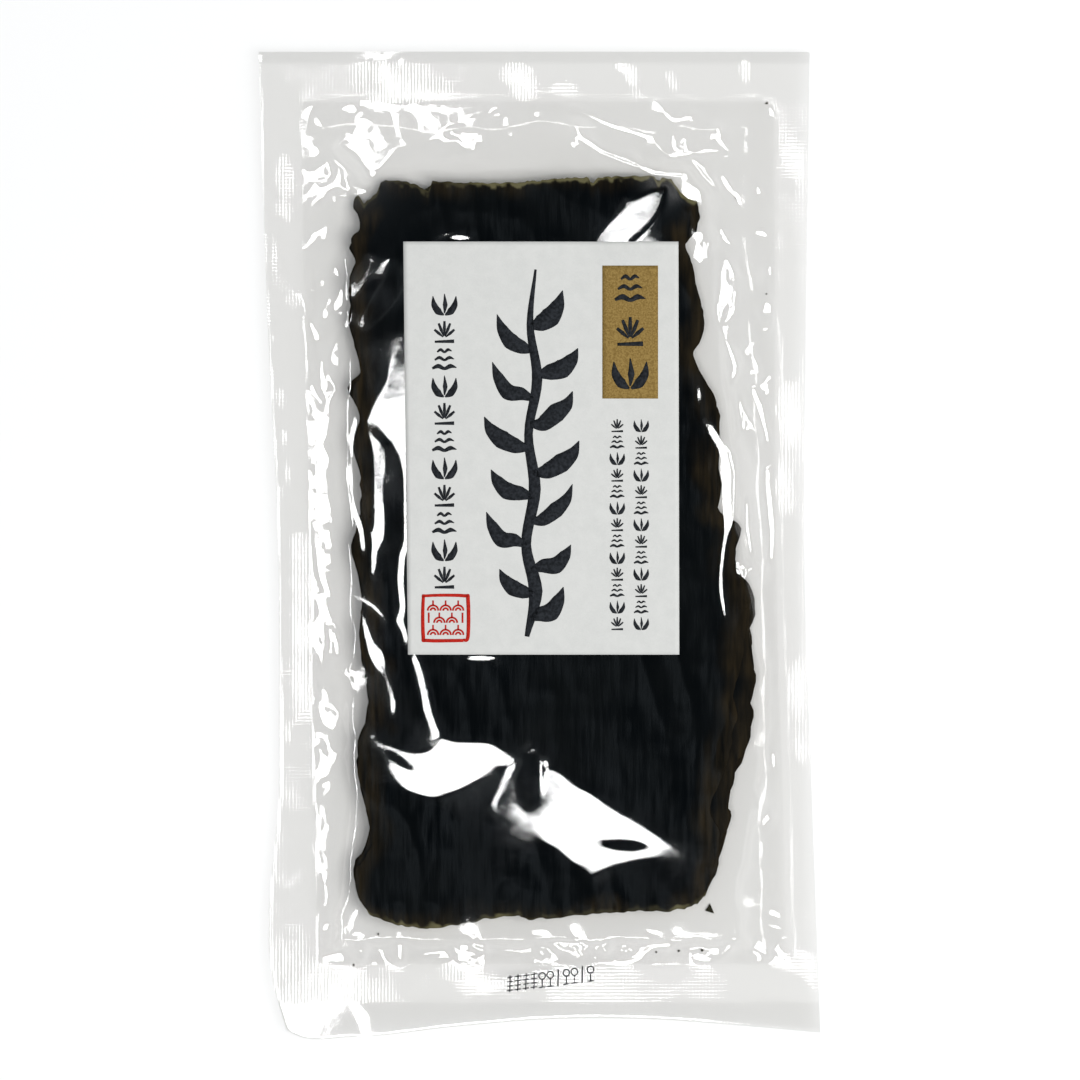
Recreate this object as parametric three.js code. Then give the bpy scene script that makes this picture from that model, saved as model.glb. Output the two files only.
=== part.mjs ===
// A clear pouch of dried kelp, lying flat on its back, with a paper label on its front.
// Millimetres. +X runs across the pouch, +Y towards its top seal and +Z up, away from what it lies on.
// The origin is on the underside, in the middle of the pouch.
import * as THREE from "three";

// ---- Driving dimensions ----

// The pouch's outer edges. Its sides are drawn in at the waist, where the contents fill it,
// and its foot hangs loose and wavy below the bottom weld. Pairs are [place, value].
const TOP_EDGE = 125.8;
const LEFT_EDGE = [[-125, -66.1], [-60, -66.3], [0, -66.7], [60, -69.5], [125, -71.7]];
const RIGHT_EDGE = [[-125, 71.7], [-60, 69.3], [0, 67.5], [60, 68], [125, 68.9]];
const FOOT_EDGE = [
  [-66, -125.2], [-48, -125.8], [-20, -122.8], [0, -121.2], [30, -121.2], [52, -122.8], [72, -124.6],
];

// The cavity between the welds.
const CAVITY_TOP = 113;
const CAVITY_BOTTOM = -107;
const CAVITY_LEFT = [[-107, -56.4], [0, -58.6], [113, -60.9]];
const CAVITY_RIGHT = [[-107, 63], [0, 60.4], [113, 59.9]];

// Where the film reaches its full height over the stack of kelp, a little outside the stack's outline.
const STACK_TOP = 95;
const STACK_BOTTOM = -101;
const STACK_LEFT = [[-104, -52], [-92, -50.5], [-80, -48.6], [-40, -48], [0, -48.8], [93, -49.6]];
const STACK_RIGHT = [[-104, 52], [-92, 50.5], [-62, 55], [-32, 56], [10, 50], [50, 46], [93, 41]];

// The film's height over the middle of the stack at places up the pouch, and how far it falls at the right.
const STACK_HEIGHTS = [
  [-100, 6.4], [-84, 6.5], [-66, 7.1], [-48, 7.5], [0, 7.4], [40, 7.3], [70, 6.9], [95, 6.9],
];
const STACK_SIDE_FALL = 0.5;

// The welded border, which floats a little above the table, waves along its length and arches at its ends.
const BORDER_HEIGHT = 3.1;
const BORDER_WAVE_HEIGHT = 0.3;
const BORDER_WAVES = [[15, 60], [-45, 22]]; // each wave's run across and up the pouch, per radian
const BORDER_ARCH = 1.1; // how much higher the ends stand in their middle
const ARCH_START = 98; // how far from the pouch's middle the arch begins and is full
const ARCH_FULL = 110;
const BORDER_THICKNESS = 0.5;

// The film rises from the weld to the stack ever more steeply: this much of the rise is a straight slope.
const STRAIGHT_RISE = 0.4;

// The back film comes down to the table after this share of the way from the weld to the stack.
const LANDING = 0.5;

// The label: a sheet of paper on the front, a little narrower at its foot where the film falls away.
const LABEL_CORNERS = {
  topLeft: [-34.7, 77],
  topRight: [35.4, 77.2],
  bottomLeft: [-33.5, -28.2],
  bottomRight: [35.6, -28],
};
const LABEL_THICKNESS = 0.3;
const LABEL_GAP = 0.3; // the paper stands this far off the film

// How finely each surface is divided, in cells across and down, and how much narrower than evenly
// spaced ones the pouch's cells are by its edges, where it bends most.
const POUCH_CELLS = [30, 46];
const POUCH_CROWDING = 0.5;
const LABEL_CELLS = [14, 20];

// ---- Helpers ----

const clamp = THREE.MathUtils.clamp;
const lerp = THREE.MathUtils.lerp;

// A smooth curve through [place, value] pairs: cubic pieces whose slope at a pair is that of the line
// between its two neighbours.
function curveThrough(pairs) {
  const last = pairs.length - 1;
  const slopes = pairs.map((_, i) => {
    const before = pairs[Math.max(i - 1, 0)];
    const after = pairs[Math.min(i + 1, last)];
    return (after[1] - before[1]) / (after[0] - before[0]);
  });
  return (place) => {
    let i = 0;
    while (i < last - 1 && place > pairs[i + 1][0]) i += 1;
    const span = pairs[i + 1][0] - pairs[i][0];
    const t = clamp((place - pairs[i][0]) / span, 0, 1);
    const ease = t * t * (3 - 2 * t);
    const leave = t * (1 - t) * (1 - t) * span * slopes[i];
    const arrive = t * t * (t - 1) * span * slopes[i + 1];
    return lerp(pairs[i][1], pairs[i + 1][1], ease) + leave + arrive;
  };
}

// A closed body between two height functions over one patch of the plane. place(across, down) gives the
// point [x, y] for shares from 0 to 1, with down running from the patch's top edge to its foot.
function bodyBetween([columns, rows], place, upper, lower) {
  const points = [];
  for (const height of [upper, lower]) {
    for (let row = 0; row <= rows; row += 1) {
      for (let column = 0; column <= columns; column += 1) {
        const [x, y] = place(column / columns, row / rows);
        points.push(x, y, height(x, y));
      }
    }
  }
  const stride = columns + 1;
  const layer = stride * (rows + 1);
  const at = (column, row) => row * stride + column;
  const faces = [];
  const addQuad = (a, b, c, d) => faces.push(a, b, c, a, c, d);
  for (let row = 0; row < rows; row += 1) {
    for (let column = 0; column < columns; column += 1) {
      const corners = [at(column, row), at(column, row + 1), at(column + 1, row + 1), at(column + 1, row)];
      addQuad(...corners);
      addQuad(...corners.reverse().map((corner) => corner + layer));
    }
  }
  const addWall = (from, to) => addQuad(from, to, to + layer, from + layer);
  for (let column = 0; column < columns; column += 1) {
    addWall(at(column, 0), at(column + 1, 0));
    addWall(at(column + 1, rows), at(column, rows));
  }
  for (let row = 0; row < rows; row += 1) {
    addWall(at(0, row + 1), at(0, row));
    addWall(at(columns, row), at(columns, row + 1));
  }
  const geometry = new THREE.BufferGeometry();
  geometry.setAttribute("position", new THREE.Float32BufferAttribute(points, 3));
  geometry.setIndex(faces);
  geometry.computeVertexNormals();
  return geometry;
}

// ---- The pouch and what fills it ----

const leftEdge = curveThrough(LEFT_EDGE);
const rightEdge = curveThrough(RIGHT_EDGE);
const footEdge = curveThrough(FOOT_EDGE);
const cavityLeft = curveThrough(CAVITY_LEFT);
const cavityRight = curveThrough(CAVITY_RIGHT);
const stackLeft = curveThrough(STACK_LEFT);
const stackRight = curveThrough(STACK_RIGHT);
const middleHeight = curveThrough(STACK_HEIGHTS);

// Evenly spaced shares from 0 to 1, moved towards both ends.
function crowded(share) {
  return share - (POUCH_CROWDING * Math.sin(2 * Math.PI * share)) / (2 * Math.PI);
}

// The point of the pouch's outline patch for a share across and a share down.
function pouchPlace(across, down) {
  const level = lerp(TOP_EDGE, -TOP_EDGE, crowded(down));
  const x = lerp(leftEdge(level), rightEdge(level), crowded(across));
  return [x, lerp(TOP_EDGE, footEdge(x), crowded(down))];
}

// The middle height of the welded border: slow waves crossing it, and an arch over each end.
function borderHeight(x, y) {
  const waves = BORDER_WAVES.map(([runAcross, runUp]) => Math.sin(x / runAcross + y / runUp));
  const atEnd = THREE.MathUtils.smoothstep(Math.abs(y), ARCH_START, ARCH_FULL);
  const arch = BORDER_ARCH * atEnd * (1 - (x / leftEdge(0)) ** 2);
  return BORDER_HEIGHT + BORDER_WAVE_HEIGHT * waves.reduce((sum, wave) => sum + wave, 0) + arch;
}

// How far a place has come from the weld, where it is 0, to the stack, where it is 1.
function stackShare(x, y) {
  const left = (x - cavityLeft(y)) / (stackLeft(y) - cavityLeft(y));
  const right = (x - cavityRight(y)) / (stackRight(y) - cavityRight(y));
  const top = (CAVITY_TOP - y) / (CAVITY_TOP - STACK_TOP);
  const bottom = (y - CAVITY_BOTTOM) / (STACK_BOTTOM - CAVITY_BOTTOM);
  return clamp(Math.min(left, right, top, bottom), 0, 1);
}

function stackHeight(x, y) {
  return middleHeight(y) - STACK_SIDE_FALL * Math.max(x / STACK_RIGHT[0][1], 0) ** 4;
}

function pouchTop(x, y) {
  const share = stackShare(x, y);
  const border = borderHeight(x, y) + BORDER_THICKNESS / 2;
  return lerp(border, stackHeight(x, y), STRAIGHT_RISE * share + (1 - STRAIGHT_RISE) * share ** 4);
}

// The back film lies flat on the table under the stack, and from there it runs straight up to the weld.
function pouchUnderside(x, y) {
  return lerp(borderHeight(x, y) - BORDER_THICKNESS / 2, 0, clamp(stackShare(x, y) / LANDING, 0, 1));
}

function makePouch() {
  const geometry = bodyBetween(POUCH_CELLS, pouchPlace, pouchTop, pouchUnderside);
  const material = new THREE.MeshStandardMaterial({ color: 0xdcdbd7, roughness: 0.12, metalness: 0 });
  const pouch = new THREE.Mesh(geometry, material);
  pouch.name = "bag";
  return pouch;
}

// ---- The label ----

function labelPlace(across, down) {
  const { topLeft, topRight, bottomLeft, bottomRight } = LABEL_CORNERS;
  const x = lerp(lerp(topLeft[0], topRight[0], across), lerp(bottomLeft[0], bottomRight[0], across), down);
  const y = lerp(lerp(topLeft[1], topRight[1], across), lerp(bottomLeft[1], bottomRight[1], across), down);
  return [x, y];
}

function makeLabel() {
  const back = (x, y) => pouchTop(x, y) + LABEL_GAP;
  const front = (x, y) => back(x, y) + LABEL_THICKNESS;
  const geometry = bodyBetween(LABEL_CELLS, labelPlace, front, back);
  const material = new THREE.MeshStandardMaterial({ color: 0xdadbd7, roughness: 0.85, metalness: 0 });
  const label = new THREE.Mesh(geometry, material);
  label.name = "label";
  return label;
}

const pack = new THREE.Group();
pack.add(makePouch(), makeLabel());

export default pack;
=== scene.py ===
import bpy
import numpy as np
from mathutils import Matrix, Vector


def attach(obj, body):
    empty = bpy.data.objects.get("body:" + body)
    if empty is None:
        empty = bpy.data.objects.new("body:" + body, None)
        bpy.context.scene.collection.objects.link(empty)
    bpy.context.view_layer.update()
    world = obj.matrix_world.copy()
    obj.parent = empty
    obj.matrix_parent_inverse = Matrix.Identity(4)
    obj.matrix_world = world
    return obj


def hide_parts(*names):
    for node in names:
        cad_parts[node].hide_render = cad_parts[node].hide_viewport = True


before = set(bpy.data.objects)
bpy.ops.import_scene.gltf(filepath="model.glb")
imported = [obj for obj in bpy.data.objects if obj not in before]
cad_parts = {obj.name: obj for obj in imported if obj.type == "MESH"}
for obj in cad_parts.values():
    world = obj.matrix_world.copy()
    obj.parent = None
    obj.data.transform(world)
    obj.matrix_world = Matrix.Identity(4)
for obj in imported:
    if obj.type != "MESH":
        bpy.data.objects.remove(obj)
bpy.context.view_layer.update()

# ---- The studio ----
# The pack lies on a white table and a camera looks straight down on it. Soft light from the right fills
# the room, and for the film to mirror, three lamps stand nearly overhead in a quarter ring from the left to
# the foot.

MM = 0.001
CAMERA_HEIGHT = 2000.0  # all sizes in this file are millimetres until a mesh is made
CAMERA_AIM = (0.13, 1.09)
PICTURE_WIDTH = 276.0
SENSOR_WIDTH = 36.0
LAMP_HEIGHT = 3000.0

scene = bpy.context.scene
scene.view_settings.view_transform = "Standard"
scene.cycles.transparent_max_bounces = 24

lens = bpy.data.cameras.new("camera")
lens.sensor_width = SENSOR_WIDTH
lens.lens = SENSOR_WIDTH * CAMERA_HEIGHT / PICTURE_WIDTH
camera = bpy.data.objects.new("camera", lens)
camera.location = (CAMERA_AIM[0] * MM, CAMERA_AIM[1] * MM, CAMERA_HEIGHT * MM)
scene.collection.objects.link(camera)
scene.camera = camera


def add_lamp(name, place, size, power, colour=(1, 1, 1)):
    """A rectangular lamp at place, in metres, that faces the pack. It is never seen itself."""
    light = bpy.data.lights.new(name, "AREA")
    light.shape = "RECTANGLE"
    light.size, light.size_y = size
    light.energy = power
    light.color = colour
    lamp = bpy.data.objects.new(name, light)
    lamp.location = place
    lamp.rotation_euler = (-Vector(place)).to_track_quat("-Z", "Y").to_euler()
    lamp.visible_camera = False
    scene.collection.objects.link(lamp)
    return lamp


# Where the three lamps stand, as shares of their height sideways and up the pack, and half their size in
# the same measure.
LAMPS = {
    "left": ((-0.2, -0.01), (0.05, 0.08)),
    "corner": ((-0.16, -0.145), (0.055, 0.055)),
    "foot": ((-0.02, -0.205), (0.08, 0.045)),
}
LAMP_BRIGHTNESS = 18.0  # radiance, many times that of the table
# A dim panel just behind each lamp and wider by this much, for the soft borders of its mirror image.
GLOW_SPREAD, GLOW_BRIGHTNESS, GLOW_COLOUR = 1.8, 0.15, (0.93, 0.97, 1.0)
GLOW_SETBACK = 1.02
for side, (place, half_size) in LAMPS.items():
    height = LAMP_HEIGHT * MM
    size = [2 * half * height for half in half_size]
    power = LAMP_BRIGHTNESS * np.pi * size[0] * size[1]
    stands = (place[0] * height, place[1] * height, height)
    add_lamp(f"lamp_{side}", stands, size, power)
    glow_size = [GLOW_SPREAD * length for length in size]
    power *= GLOW_BRIGHTNESS / LAMP_BRIGHTNESS * GLOW_SPREAD**2
    glow_stands = [GLOW_SETBACK * length for length in stands]
    add_lamp(f"glow_{side}", glow_stands, glow_size, power, GLOW_COLOUR)

key = add_lamp("key", (0.7, -0.25, 1.5), (1.1, 1.1), 18.8, (1.0, 0.99, 0.97))
key.visible_glossy = False


def node_adder(tree):
    """A call that adds a node to a tree, with its first inputs in order, then settings and inputs by name.

    An input is linked where it is given another node's output, and is left alone where it is given None.
    """

    def add(kind, *first_inputs, **named):
        node = tree.nodes.new(kind)
        given = []
        for name, value in named.items():
            if hasattr(node, name):
                setattr(node, name, value)
            else:
                given.append((name.replace("_", " "), value))
        for socket, value in [*enumerate(first_inputs), *given]:
            socket = node.inputs[socket]
            if isinstance(value, bpy.types.NodeSocket):
                tree.links.new(value, socket)
            elif value is not None:
                socket.default_value = value
        return node

    return add


def colour_ramp(add, value, stops):
    """The colour for a value, through (value, (red, green, blue)) stops."""
    shades = add("ShaderNodeValToRGB", value)
    elements = shades.color_ramp.elements
    while len(elements) < len(stops):
        elements.new(0.5)
    for element, (position, colour) in zip(elements, stops):
        element.position = position
        element.color = (*colour, 1)
    return shades.outputs["Color"]


# The room by how high one looks, with 1 straight up: dark overhead, so that the black kelp stays black,
# bright at half height, paler at the horizon, cooler towards the top and brighter to the right.
ROOM = [
    (0.0, 0.45), (0.25, 0.5), (0.55, 0.68), (0.78, 0.3), (0.9, 0.12), (0.96, 0.05), (0.99, 0.022),
    (1.0, 0.014),
]
LEFT_STRENGTH, RIGHT_STRENGTH = 0.6, 1.4
room = bpy.data.worlds.new("room")
room.use_nodes = True
scene.world = room
room_stops = []
for level, brightness in ROOM:
    coolness = 0.02 + 0.25 * level**8
    room_stops.append((level, (brightness * (1 - coolness), brightness, brightness * (1 + coolness))))
add = node_adder(room.node_tree)
direction = add("ShaderNodeSeparateXYZ", add("ShaderNodeTexCoord").outputs["Generated"]).outputs
strength = add(
    "ShaderNodeMapRange", direction["X"], From_Min=-1, To_Min=LEFT_STRENGTH, To_Max=RIGHT_STRENGTH
).outputs[0]
background = room.node_tree.nodes["Background"]
room.node_tree.links.new(colour_ramp(add, direction["Z"], room_stops), background.inputs["Color"])
room.node_tree.links.new(strength, background.inputs["Strength"])

TABLE_SIZE = 6.0
table_mesh = bpy.data.meshes.new("table")
half = TABLE_SIZE / 2
table_mesh.from_pydata(
    [(-half, -half, 0), (half, -half, 0), (half, half, 0), (-half, half, 0)], [], [(0, 1, 2, 3)]
)
table = bpy.data.objects.new("table", table_mesh)
scene.collection.objects.link(table)
table_finish = bpy.data.materials.new("table_top")
table_finish.use_nodes = True
table_shader = table_finish.node_tree.nodes["Principled BSDF"]
table_shader.inputs["Base Color"].default_value = (0.93, 0.93, 0.93, 1)
table_shader.inputs["Roughness"].default_value = 0.9
table_shader.inputs["Specular IOR Level"].default_value = 0.1
table_mesh.materials.append(table_finish)

# ---- The pouch ----
# Two sheets of clear laminate film, welded together 10 mm wide along the sides and the ends, with a loose
# lip beyond each end weld. The front sheet is drawn tight over the stack and creased wherever it slackens.

TOP_EDGE = 125.6
LEFT_EDGE = [(-125, -64.8), (-121, -66.2), (-60, -66.3), (0, -66.7), (60, -69.5), (125, -71.6)]
RIGHT_EDGE = [(-125, 71.6), (-60, 69.3), (0, 67.5), (60, 68), (125, 68.9)]
FOOT_EDGE = [
    (-66, -123), (-62, -125.2), (-48, -125.6), (-20, -122.8), (0, -121.2), (30, -121.2), (52, -122.8),
    (72, -124.6),
]
CAVITY_TOP = 113.0
CAVITY_BOTTOM = -107.0
CAVITY_LEFT = [(-107, -56.4), (0, -58.6), (113, -60.9)]
CAVITY_RIGHT = [(-107, 63), (0, 60.4), (113, 59.9)]
STACK_TOP = 95.0
STACK_BOTTOM = -101.0
STACK_LEFT = [(-104, -52), (-92, -50.5), (-80, -48.6), (-40, -48), (0, -48.8), (93, -49.6)]
STACK_RIGHT = [(-104, 52), (-92, 50.5), (-62, 55), (-32, 56), (10, 50), (50, 46), (93, 41)]
WELD_HEIGHT = 2.8
FILM_THICKNESS = 0.08
PLATEAU_HEIGHT = 7.75  # the film over the middle of the stack


def ramp(low, high, value):
    """Rises smoothly from 0 at low to 1 at high: three times the share squared less twice its cube."""
    share = np.clip((value - low) / (high - low), 0, 1)
    return share * share * (3 - 2 * share)


def mix(first, second, share):
    return first + (second - first) * share


def smooth_line(pairs, place):
    """A curve through (place, value) pairs: cubic pieces whose slope at a pair is its neighbours' slope."""
    at, value = np.array(pairs, float).T
    slope = np.gradient(value, at)
    piece = np.clip(np.searchsorted(at, place) - 1, 0, len(at) - 2)
    span = at[piece + 1] - at[piece]
    share = np.clip((place - at[piece]) / span, 0, 1)
    leaving = share * (1 - share) ** 2 * span * slope[piece]
    arriving = share * share * (share - 1) * span * slope[piece + 1]
    return mix(value[piece], value[piece + 1], ramp(0, 1, share)) + leaving + arriving


def soft_least(values, sharpness):
    """The least of several arrays with its corners rounded: minus the log of the summed exp of minus each."""
    least = np.minimum.reduce(values)
    total = sum(np.exp(-sharpness * (value - least)) for value in values)
    return least - np.log(total) / sharpness


def rounded_step(share, radius):
    """0 below 0, 1 above 1 and a straight line between, with a parabola of that radius at either bend."""
    low = np.clip(share + radius, 0, 2 * radius) ** 2 / (4 * radius)
    middle = np.clip(share - radius, 0, 1 - 2 * radius)
    over = np.clip(share - 1 + radius, 0, 2 * radius)
    return low + middle + over - over**2 / (4 * radius)


def soft_noise(x, y, size, seed):
    """Smooth noise from -1 to 1: random values on a square lattice, eased between its corners."""
    count = 64
    lattice = np.random.default_rng(seed).uniform(-1, 1, (count, count))
    column, row = np.floor(x / size), np.floor(y / size)
    across, up = ramp(0, 1, x / size - column), ramp(0, 1, y / size - row)
    i, j = column.astype(int) % count, row.astype(int) % count
    right, above = (i + 1) % count, (j + 1) % count
    lower = mix(lattice[j, i], lattice[j, right], across)
    upper = mix(lattice[above, i], lattice[above, right], across)
    return mix(lower, upper, up)


def film_share(x, y):
    """0 at the inner edge of the weld and 1 at the stack: the least of the four sides' shares, rounded."""
    left, right = smooth_line(CAVITY_LEFT, y), smooth_line(CAVITY_RIGHT, y)
    ruffle = 0.9 * soft_noise(y, 0 * y + 3, 4.5, 61)
    wave = 0.8 * soft_noise(x, 0 * x + 3, 5, 62)
    shares = [
        (x - left) / (smooth_line(STACK_LEFT, y) + ruffle - left),
        (right - x) / (right - smooth_line(STACK_RIGHT, y) + ruffle),
        (CAVITY_TOP - y) / (CAVITY_TOP - STACK_TOP + wave),
        (y - CAVITY_BOTTOM) / (STACK_BOTTOM + wave - CAVITY_BOTTOM),
    ]
    return soft_least(shares, 24)


def weld_height(x, y):
    """The welded border waves slowly along its length and rises a little towards the pouch's outer edges."""
    beyond_sides = [smooth_line(CAVITY_LEFT, y) - x, x - smooth_line(CAVITY_RIGHT, y)]
    outward = np.maximum.reduce([*beyond_sides, y - CAVITY_TOP, CAVITY_BOTTOM - y, 0 * x])
    return WELD_HEIGHT + 0.3 * (np.sin(x / 15 + y / 60) + np.sin(y / 22 - x / 45)) + 0.03 * outward


def plateau(x, y):
    """The stack's top: nearly flat, with two slow waves, and a little lower to the right and at the top."""
    waves = 0.14 * np.sin(x / 17 + y / 40 + 1) + 0.1 * np.sin(y / 19 - x / 50)
    return PLATEAU_HEIGHT + waves - 0.4 * np.maximum(x / 50, 0) ** 4 - 0.4 * np.maximum(y / 95, 0) ** 6


def tight_film(x, y):
    """The film before it creases: it rises ever more steeply from the weld, then lies flat on the stack."""
    share = rounded_step(film_share(x, y), 0.04)
    rise = 0.4 * share + 0.6 * share**4
    return mix(weld_height(x, y) + FILM_THICKNESS, plateau(x, y), rise)


def mirror_slope(x, y, lamp):
    """The slope at which the film shows the camera that lamp: half the sum of the two ways' tilts."""
    (across, up), _ = LAMPS[lamp]
    nearness = (1 / CAMERA_HEIGHT + 1 / LAMP_HEIGHT) / 2
    return x * nearness - across / 2, y * nearness - up / 2


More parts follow.
